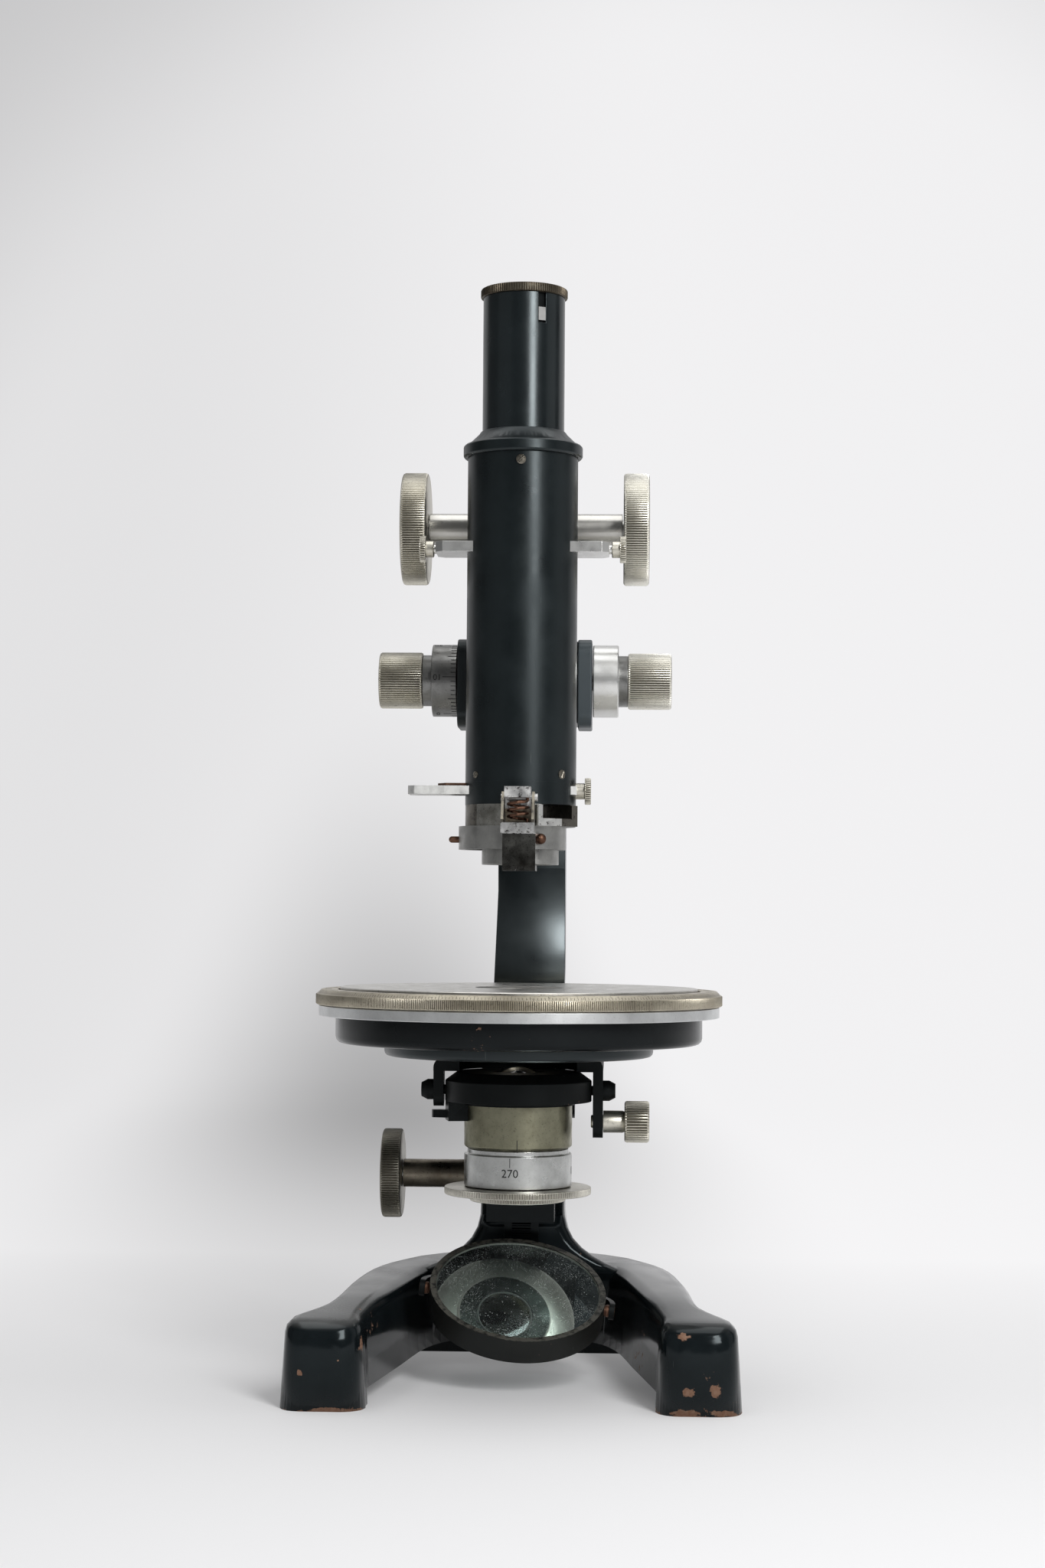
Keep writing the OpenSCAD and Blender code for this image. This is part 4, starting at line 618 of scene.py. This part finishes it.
def slotted_screw(name, radius, height, place, direction, material, body, turn=0.4):
    """Domed screw head with a slot cut across it."""
    n, half = 24, 0.13 * radius
    outline = (
        (radius, -0.3), (radius, height * 0.65), (radius * 0.75, height * 0.93), (radius * 0.3, height),
    )
    b = bmesh.new()
    rings = []
    for r, h in outline:
        angles = [2 * math.pi * i / n for i in range(n)]
        rings.append([b.verts.new((r * math.cos(a), r * math.sin(a), h)) for a in angles])
    for lo, hi in zip(rings, rings[1:]):
        for i in range(n):
            b.faces.new((lo[i], lo[(i + 1) % n], hi[(i + 1) % n], hi[i]))
    b.faces.new(rings[-1])
    for side, sign in ((-half, 1), (half, -1)):
        geom = b.verts[:] + b.edges[:] + b.faces[:]
        bmesh.ops.bisect_plane(b, geom=geom, plane_co=(0, side, 0), plane_no=(0, sign, 0))
    for v in b.verts:
        if abs(v.co.y) < half * 1.02 and v.co.z > height * 0.3:
            v.co.z -= height * 0.45
    rot = turned(direction) @ Matrix.Rotation(turn, 3, "Z")
    verts = [at(*place) + rot @ v.co * MM for v in b.verts]
    b.verts.index_update()
    faces = [tuple(v.index for v in f.verts) for f in b.faces]
    b.free()
    return piece(name, verts, faces, material, body, 28)


def lettering(text, height):
    """Flat numerals as (points, faces), centred, in millimetres."""
    data = bpy.data.curves.new("numeral", "FONT")
    data.body = text
    data.size = height / 0.7
    data.align_x, data.align_y = "CENTER", "CENTER"
    data.offset = 0.004 * height
    data.resolution_u = 3
    temp = bpy.data.objects.new("numeral", data)
    bpy.context.scene.collection.objects.link(temp)
    mesh = bpy.data.meshes.new_from_object(temp.evaluated_get(bpy.context.evaluated_depsgraph_get()))
    points = [(v.co.x, v.co.y) for v in mesh.vertices]
    faces = [tuple(p.vertices) for p in mesh.polygons]
    bpy.data.objects.remove(temp)
    bpy.data.curves.remove(data)
    bpy.data.meshes.remove(mesh)
    return points, faces


class Marks:
    """Ink marks and numerals on a surface; place(u, v) is the point for u along and v up the scale."""

    def __init__(self, place):
        self.place, self.verts, self.faces = place, [], []

    def line(self, u0, v0, u1, v1, width):
        along = Vector((u1 - u0, v1 - v0)).normalized()
        side = Vector((-along.y, along.x)) * width / 2
        first = len(self.verts)
        for t in (0, 0.5, 1):
            c = Vector((u0 + (u1 - u0) * t, v0 + (v1 - v0) * t))
            for s in (side, -side):
                self.verts.append(self.place(c.x + s.x, c.y + s.y))
        for i in (first, first + 2):
            self.faces.append((i, i + 1, i + 3, i + 2))

    def text(self, text, height, u, v, turn=0.0):
        points, faces = lettering(text, height)
        first = len(self.verts)
        c, s = math.cos(turn), math.sin(turn)
        self.verts += [self.place(u + x * c - y * s, v + x * s + y * c) for x, y in points]
        self.faces += [tuple(first + i for i in f) for f in faces]

    def finish(self, name, body):
        piece(name, self.verts, self.faces, SKIN["ink"], body)


def tick(k, ten, five, one):
    """Where the scale's line k ends: the tens and the fives are longer."""
    return ten if k % 10 == 0 else five if k % 5 == 0 else one


# Ribbed and knurled pieces
def coarse_knob(side, word):
    """Large ribbed knob with a sunk face and a slotted screw."""
    node = "coarse_knob_" + word
    radius, start, length = knob_size(node)
    sunk, boss = length - 0.6, length - 0.3
    knob = ribbed(
        node + "_ribs", radius, length, 144, 0.42, 0.9, (side * start, *COARSE), (side, 0, 0),
        knob_metal(side), "coarse_focus",
        front=[(15.6, length), (15.2, sunk), (5.2, sunk), (5.0, boss), (0, boss)],
    )
    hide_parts(node)
    slotted_screw(
        node + "_screw", 3.2, 0.5, (side * (start + 7.95), *COARSE), (side, 0, 0), SKIN["steel"],
        "coarse_focus",
    )


def fine_knob(side, word):
    """Ribbed barrel at the end of the fine spindle."""
    node = "fine_knob_" + word
    radius, start, length = knob_size(node)
    knob = ribbed(
        node + "_ribs", radius, length, 72, 0.4, 0.7, (side * start, *FINE), (side, 0, 0), knob_metal(side),
        "fine_focus", front=[(7.2, length), (6.9, length - 0.4), (0, length - 0.4)],
    )
    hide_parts(node)


def knob_metal(side):
    """The knobs on the right get a paler copy of the nickel: painted light from the right."""
    return SKIN["nickel"] if side < 0 else SKIN["right_lit_nickel"]


def pull_disc(name, place, side, body):
    """The ribbed disc at the end of a small pull."""
    return ribbed(name, 4.1, 1.9, 34, 0.22, 0.25, place, (side, 0, 0), SKIN["nickel"], body)


def bertrand_pull(side, word):
    """Rod, collar and disc at one end of the Bertrand lens bar."""
    left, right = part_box("bertrand_bar")
    start = millimetres(left.x if side < 0 else right.x)
    place = (start, 0, BERTRAND_Z)
    lathe(
        "bertrand_rod_" + word, [(0, -1.0), (1.4, -1.0), (1.4, 1.0), (0, 1.0)], place, (side, 0, 0),
        SKIN["steel"], "bertrand", 32,
    )
    lathe(
        "bertrand_collar_" + word, [(0, 0.8), (2.3, 0.8), (2.55, 1.05), (2.55, 3.4), (0, 3.4)], place,
        (side, 0, 0), SKIN["nickel"], "bertrand", 48,
    )
    disc = pull_disc("bertrand_disc_" + word, (start + side * 3.3, 0, BERTRAND_Z), side, "bertrand")
    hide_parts("bertrand_knobs")


def analyzer_pull():
    """Disc and collar at the right end of the analyzer bar."""
    start = millimetres(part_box("analyzer_bar")[1].x)
    disc = pull_disc("analyzer_disc", (start + 2.4, 0, ANALYZER_Z), 1, "analyzer")
    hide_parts("analyzer_knob")
    lathe(
        "analyzer_collar", [(0, -0.4), (2.5, -0.4), (2.5, 2.2), (2.3, 2.4), (0, 2.4)],
        (start, 0, ANALYZER_Z), (1, 0, 0), SKIN["nickel"], "analyzer", 48,
    )


def condenser_screw():
    """Fluted head and stepped neck of the screw that clamps the condenser."""
    radius, near, whole = knob_size("condenser_screw")
    start = 32.6  # where the neck ends and the head starts
    length = near + whole - start
    head = ribbed(
        "condenser_screw_head", radius, length, 44, 0.42, 0.7, (start, *CONDENSER_SCREW), (1, 0, 0),
        SKIN["nickel"], "condenser_clamp",
        front=[(4.9, length), (4.6, length - 0.3), (0, length - 0.3)],
    )
    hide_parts("condenser_screw")
    lathe(
        "condenser_screw_neck",
        [(0, near), (1.7, near), (2, near + 0.3), (2, 26.1), (3.4, 26.1), (3.4, 32), (3.1, start),
         (0, start)],
        (0, *CONDENSER_SCREW), (1, 0, 0), SKIN["nickel"], "condenser_clamp", 64,
    )


def substage_knob():
    """Dark ribbed knob on the left end of the substage pinion."""
    radius, start, length = knob_size("substage_knob")
    sunk, boss = length - 0.4, length - 0.2
    knob = ribbed(
        "substage_knob_ribs", radius, length, 108, 0.4, 0.8, (-start, *SUBSTAGE_GEAR), (-1, 0, 0),
        SKIN["iron_knob"], "substage_gear",
        front=[(11.8, length), (11.5, sunk), (3.2, sunk), (3.0, boss), (0, boss)],
    )
    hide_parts("substage_knob")


def polarizer_rims():
    """The polarizer's knurled flange and the smaller knurled cap under it, round its glass."""
    bore, thick = 9.5, 2.2
    radius = millimetres(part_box("polarizer_rim")[1].x)
    plating = SKIN["grey_nickel"]
    rim = ribbed(
        "polarizer_rim_ribs", radius, thick, 280, 0.16, 0.3, (0, 0, 57.4), UP, plating, "polarizer",
        back=[(bore, 0.2)],
        front=[(16.4, thick), (15.5, thick + 0.15), (bore, thick + 0.15)],
    )
    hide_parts("polarizer_rim")
    ribbed(
        "polarizer_cap_ribs", 14.7, thick, 180, 0.16, 0.3, (0, 0, 55.3), UP, plating, "polarizer",
        back=[(bore, 2.0), (bore, 0)], front=[(bore, thick)],
    )


def eyepiece():
    """The eyepiece's ribbed rim with its eye hole, and the sleeve inside the tube."""
    eye, bore, outside, deep = 7.0, 10.2, 11.55, 34
    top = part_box("eyepiece_body")[1]
    radius, thick = millimetres(top.x), millimetres(top.z) - EYEPIECE_Z
    rim = ribbed(
        "eyepiece_rim", radius, thick, 110, 0.24, 0.45, (0, 0, EYEPIECE_Z), UP, SKIN["bronze"], "eyepiece",
        back=[(bore, 0)], front=[(9.2, thick), (eye + 0.4, 1.7), (eye, 1.7), (eye, -0.5)],
    )
    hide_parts("eyepiece_body")
    lathe(
        "eyepiece_sleeve",
        [(bore, 0), (outside, 0), (outside, -deep + 0.5), (11.2, -deep), (bore, -deep), (bore, -1),
         (eye, -1), (eye, 0.5)],
        (0, 0, EYEPIECE_Z), UP, SKIN["satin"], "eyepiece", 96,
    )


def notch_pin():
    """The bright pin in the tube's notch: a block between two radii, two angles and two heights."""
    near, far = math.radians(22.6), math.radians(33.4)
    low, high = 325.2, 329.3
    corners = [(near, low), (far, low), (far, high), (near, high)]
    piece(
        "notch_pin", [at(r * math.sin(a), -r * math.cos(a), z) for r in (12.6, 11.2) for a, z in corners],
        [(0, 1, 2, 3), (7, 6, 5, 4), (0, 4, 5, 1), (1, 5, 6, 2), (2, 6, 7, 3), (3, 7, 4, 0)],
        SKIN["steel"], "eyepiece",
    )


def stage():
    """The rotating plate with its fine edge knurl, bevel and raised rim, and its disc."""
    ribs, wave = 624, (0.0, 0.0, 0.2, 0.2)
    steps = ribs * len(wave)
    hole, disc_r, well = 12.1, 54.9, 55.75
    under, floor, bevel = 104.0, 117.0, STAGE_BEVEL_Z
    rows = [
        (13.0, under), (20.0, under), (20.0, 115.1), (STAGE_R - 0.5, 115.1), (STAGE_R - 0.15, 115.3, 0.5),
        (STAGE_R, 115.5, 1), (STAGE_R, bevel - 0.35, 1), (STAGE_R - 0.15, bevel - 0.1, 0.5),
        (STAGE_R - 0.5, bevel), (60.75, bevel + 1.2), (60.6, STAGE_Z), (well + 0.15, STAGE_Z),
        (well, STAGE_Z - 0.1), (well, floor), (13.0, floor), (13.0, under),
    ]
    rim = lathe(
        "stage_rim", rows, (0, 0, 0), UP, SKIN["rim"], "stage", steps,
        lambda i: wave[i % len(wave)],
    )
    grimy(rim, rows, steps, [w > 0.1 for w in wave])
    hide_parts("stage_dial")
    top = lathe(
        "stage_disc",
        [(hole, floor), (disc_r, floor), (disc_r, 120.15), (disc_r - 0.25, 120.4), (hole + 1.5, 120.4),
         (hole + 1.1, 120.1), (hole + 0.2, 120.0), (hole, 119.8), (hole, floor)],
        (0, 0, 0), UP, SKIN["plate"], "stage", 256,
    )
    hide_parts("stage_top")


# Scales
INK_STANDS = 0.02  # how far the stage's ink stands off the metal


def stage_degrees():
    """A line at each degree, cut in the bevel."""
    inward, rise, scale_r = 1.15, 1.2, 61.3
    slope = math.hypot(inward, rise)

    def on_bevel(u, v):
        a = u / scale_r - math.pi / 2
        r = STAGE_R - 0.5 - inward * v / slope + INK_STANDS
        return at(r * math.cos(a), r * math.sin(a), STAGE_BEVEL_Z + rise * v / slope + INK_STANDS)

    marks = Marks(on_bevel)
    for k in range(360):
        u = math.radians(k) * scale_r
        marks.line(u, 0.15, u, tick(k, 1.5, 1.25, 0.95), 0.12)
    marks.finish("stage_degrees", "stage")


def stage_numerals():
    """A number at each ten degrees, on the flat ring inside the bevel."""
    ring_r = 58.6

    def on_ring(u, v):
        a, r = u / ring_r - math.pi / 2, ring_r - v
        return at(r * math.cos(a), r * math.sin(a), STAGE_Z + INK_STANDS)

    marks = Marks(on_ring)
    for k in range(0, 360, 10):
        marks.text(str(k), 1.9, math.radians(k) * ring_r, 0.0, math.pi)
    marks.finish("stage_numerals", "stage")


def fine_scale():
    """Fifty divisions round the left drum, with a number at each ten, upside down from the front."""
    y0, z0 = FINE

    def on_drum(u, v):
        a = u / FINE_DRUM_R
        return at(-v, y0 - FINE_DRUM_R * math.cos(a), z0 + FINE_DRUM_R * math.sin(a))

    marks = Marks(on_drum)
    division = 2 * math.pi * FINE_DRUM_R / 50
    first = 0.35  # the zero stands a little past the front
    for k in range(50):
        u = k * division + first
        marks.line(u, 21.95, u, tick(k, 26.2, 24.6, 23.6), 0.24)
    for k in range(0, 50, 10):
        marks.text(str((k + 10) % 50), 1.9, k * division + first, 27.9, math.pi / 2)
    marks.finish("fine_divisions", "fine_focus")


def fine_drum_right():
    """Plain bright drum with a neck, without a scale."""
    r, neck, bore = FINE_DRUM_R, 7.46, 3.2
    lathe(
        "fine_drum_right",
        [(bore, 0), (r - 0.26, 0), (r, 0.3), (r, 7.8), (r - 0.26, 8.15), (neck + 0.24, 8.15), (neck, 8.3),
         (neck, 11.0), (bore, 11.0)],
        (21.85, *FINE), (1, 0, 0), SKIN["steel"], "fine_focus", 128,
    )


def upright(radius, z):
    """Place on an upright cylinder: u runs to the right from the front, v up."""

    def place(u, v):
        a = u / radius - math.pi / 2
        r = radius + 0.03  # the ink stands a little off the metal
        return at(r * math.cos(a), r * math.sin(a), z + v)

    return place


def polarizer_marks():
    """A line and a number at each quarter turn, with 270 a little left of the front."""
    low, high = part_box("polarizer_scale")
    radius = millimetres(high.x)
    marks = Marks(upright(radius, millimetres(low.z)))
    for k, word in enumerate(("270", "0", "90", "180")):
        u = math.radians(-6.5 + 90 * k) * radius
        marks.line(u, 6.6, u, 9.4, 0.2)
        marks.text(word, 2.45, u, 4.7)
    marks.finish("polarizer_marks", "polarizer")


def sleeve_index():
    """The single line over the polarizer's scale."""
    marks = Marks(upright(16.7, 71.4))
    u = math.radians(1) * 16.55
    marks.line(u, 0.3, u, 3.5, 0.22)
    marks.finish("sleeve_index", "substage")


# Rings and small fasteners
def polarizer_cap():
    """Dark face under the polarizer's cap with the thin ring round its glass."""
    lathe(
        "polarizer_cap_face", [(8.9, 55.6), (9.0, 55.25), (14.3, 55.25), (14.4, 55.5)], (0, 0, 0), UP,
        SKIN["cap"], "polarizer", 96,
    )
    lathe(
        "polarizer_cap_ring", [(8.2, 55.9), (8.3, 55.3), (8.5, 55.2), (8.7, 55.3), (8.8, 55.9)], (0, 0, 0),
        UP, SKIN["edge"], "polarizer", 96,
    )


def mirror_bezel():
    """Thin raised ring round the mirror's glass."""
    lathe(
        "mirror_bezel", [(24.8, 3.35), (24.9, 3.6), (25.2, 3.7), (25.2, 3.3), (24.8, 3.3)], MIRROR,
        MIRROR_UP, SKIN["edge"], "mirror", 128,
    )


def tube_screws():
    """The screw under the tube's shoulder and the two near its foot."""
    dark = SKIN["screw"]
    slotted_screw(
        "shoulder_screw", 1.5, 0.9, (0, -17.0, 281.3), (0, -1, 0), dark, "tube", 0.7,
    )
    slotted_screw(
        "tube_screw_left", 1.05, 0.35, (-13.4, -10.6, 185.4), (-0.78, -0.62, 0), dark, "tube",
        0.3,
    )
    slotted_screw(
        "tube_screw_right", 1.4, 0.35, (12.8, -11.3, 185.6), (0.75, -0.66, 0), dark, "tube",
        1.1,
    )


for side, word in SIDES:
    coarse_knob(side, word)
    fine_knob(side, word)
    bertrand_pull(side, word)
analyzer_pull()
condenser_screw()
substage_knob()
polarizer_rims()
eyepiece()
notch_pin()
stage()
stage_degrees()
stage_numerals()
fine_scale()
fine_drum_right()
polarizer_marks()
sleeve_index()
polarizer_cap()
mirror_bezel()
tube_screws()


# Paper, light and camera
def backdrop():
    """Pale floor that curves up into a pale wall far behind the object."""
    mesh = bpy.data.meshes.new("floor")
    near, start, bend, top, half = -3.0, 1.2, 1.2, 5.0, 4
    steps = 12
    profile = [(near, 0.0), (start, 0.0)]
    for i in range(1, steps + 1):
        a = i * math.pi / (2 * steps)
        profile.append((start + bend * math.sin(a), bend - bend * math.cos(a)))
    profile.append((start + bend, top))
    b = bmesh.new()
    left, right = [[b.verts.new((x, y, z)) for y, z in profile] for x in (-half, half)]
    for i in range(len(profile) - 1):
        b.faces.new((left[i], right[i], right[i + 1], left[i + 1]))
    for f in b.faces:
        f.smooth = True
    b.to_mesh(mesh)
    b.free()
    floor = bpy.data.objects.new("floor", mesh)
    bpy.context.scene.collection.objects.link(floor)
    mesh.materials.append(paper())


def paper():
    """White paper with painted shade: darker at the top and to the left, and one broad soft painted shadow
    behind the substage.
    """
    m, bsdf = new_material("paper")
    n, tree = Nodes(m), m.node_tree.nodes
    bsdf.inputs["Roughness"].default_value = 0.7
    bsdf.inputs["Specular IOR Level"].default_value = 0.2
    x, y, z = n.axis("X"), n.axis("Y"), n.axis("Z")
    # the shade is an ellipse on the unrolled paper, whose middle drifts to the left with the distance
    across = n.math("DIVIDE", n.plus(x, n.plus(n.times(y, 0.079), 0.038)), 0.24)
    along = n.math("DIVIDE", n.minus(n.plus(y, z), 1.1), 1.45)
    shade = n.smooth(n.length(across, along), 1.0, 0.0, 0.0, 0.57)
    # painted shade, darker to the left
    left = n.smooth(x, -0.55, 0.1, 0.13, 0.0)
    tone = n.times(n.minus(1.0, shade), n.minus(1.0, left))
    # painted shade, darker towards the top and the far sides
    reach = n.length(n.minus(x, 0.08), n.most(n.minus(z, 0.4), 0.0))
    tone = n.times(tone, n.smooth(reach, 0.75, 1.2, 1.0, 0.76))
    n.link(n.mix(tone, (0, 0, 0), (0.90, 0.897, 0.905)), bsdf.inputs["Base Color"])
    # the wall behind also shines a little by itself where it is seen, and the floor keeps its shadow
    path = tree.new("ShaderNodeLightPath")
    seen = n.most(path.outputs["Is Camera Ray"], path.outputs["Is Glossy Ray"])
    seen = n.most(seen, path.outputs["Is Transmission Ray"])
    share = n.times(seen, n.remap(n.axis("Y"), -0.02, 0.3, 0.12, 0.9))
    glow = tree.new("ShaderNodeEmission")
    n.link(n.mix(tone, (0, 0, 0), (0.945, 0.94, 0.95)), glow.inputs["Color"])
    both = tree.new("ShaderNodeMixShader")
    for k, part in enumerate((share, bsdf.outputs[0], glow.outputs[0])):
        n.link(part, both.inputs[k])
    n.link(both.outputs[0], tree["Material Output"].inputs["Surface"])
    return m


def lamp(name, place, target, size, power):
    """A soft box of size metres and power watts that looks at target."""
    data = bpy.data.lights.new(name, "AREA")
    data.shape = "RECTANGLE"
    data.size, data.size_y = size
    data.energy = power
    obj = bpy.data.objects.new(name, data)
    obj.location = place
    obj.rotation_mode = "QUATERNION"
    obj.rotation_quaternion = (Vector(place) - Vector(target)).to_track_quat("Z", "Y")
    bpy.context.scene.collection.objects.link(obj)


def world():
    """A faint even light from all round."""
    w = bpy.data.worlds.new("sky")
    bpy.context.scene.world = w
    w.use_nodes = True
    background = w.node_tree.nodes["Background"]
    background.inputs["Color"].default_value = (0.86, 0.87, 0.88, 1)
    background.inputs["Strength"].default_value = 0.15


def eye():
    """The camera solved from the photograph: its place, and its angles in degrees."""
    focal, pixels, sensor = 3650, 2048, 36  # the first two in pixels of the picture's long side
    upward, roll, turn = 2.5301, -0.4296, 1.9810
    camera = bpy.data.objects.new("camera", bpy.data.cameras.new("camera"))
    camera.data.lens = focal * sensor / pixels
    camera.data.sensor_width = sensor
    camera.data.clip_start, camera.data.clip_end = 0.05, 30
    camera.location = at(30.625, -861.456, 145.0)
    camera.rotation_euler = [math.radians(angle) for angle in (90 + upward, roll, turn)]
    bpy.context.scene.collection.objects.link(camera)
    bpy.context.scene.camera = camera


backdrop()
world()
lamp("key", (0.5, -0.98, 0.8), (0, 0, 0.2), (0.3, 0.9), 12)
lamp("fill", (-1.2, -0.9, 0.6), (0, 0, 0.15), (1.2, 1.2), 0.5)
lamp("right", (1.3, -0.1, 0.6), (0, 0, 0.15), (0.8, 1.4), 1.2)
lamp("top", (0.0, 0.1, 1.6), (0, 0, 0.1), (1.4, 1.4), 12.5)
eye()
bpy.context.scene.view_settings.view_transform = "Standard"
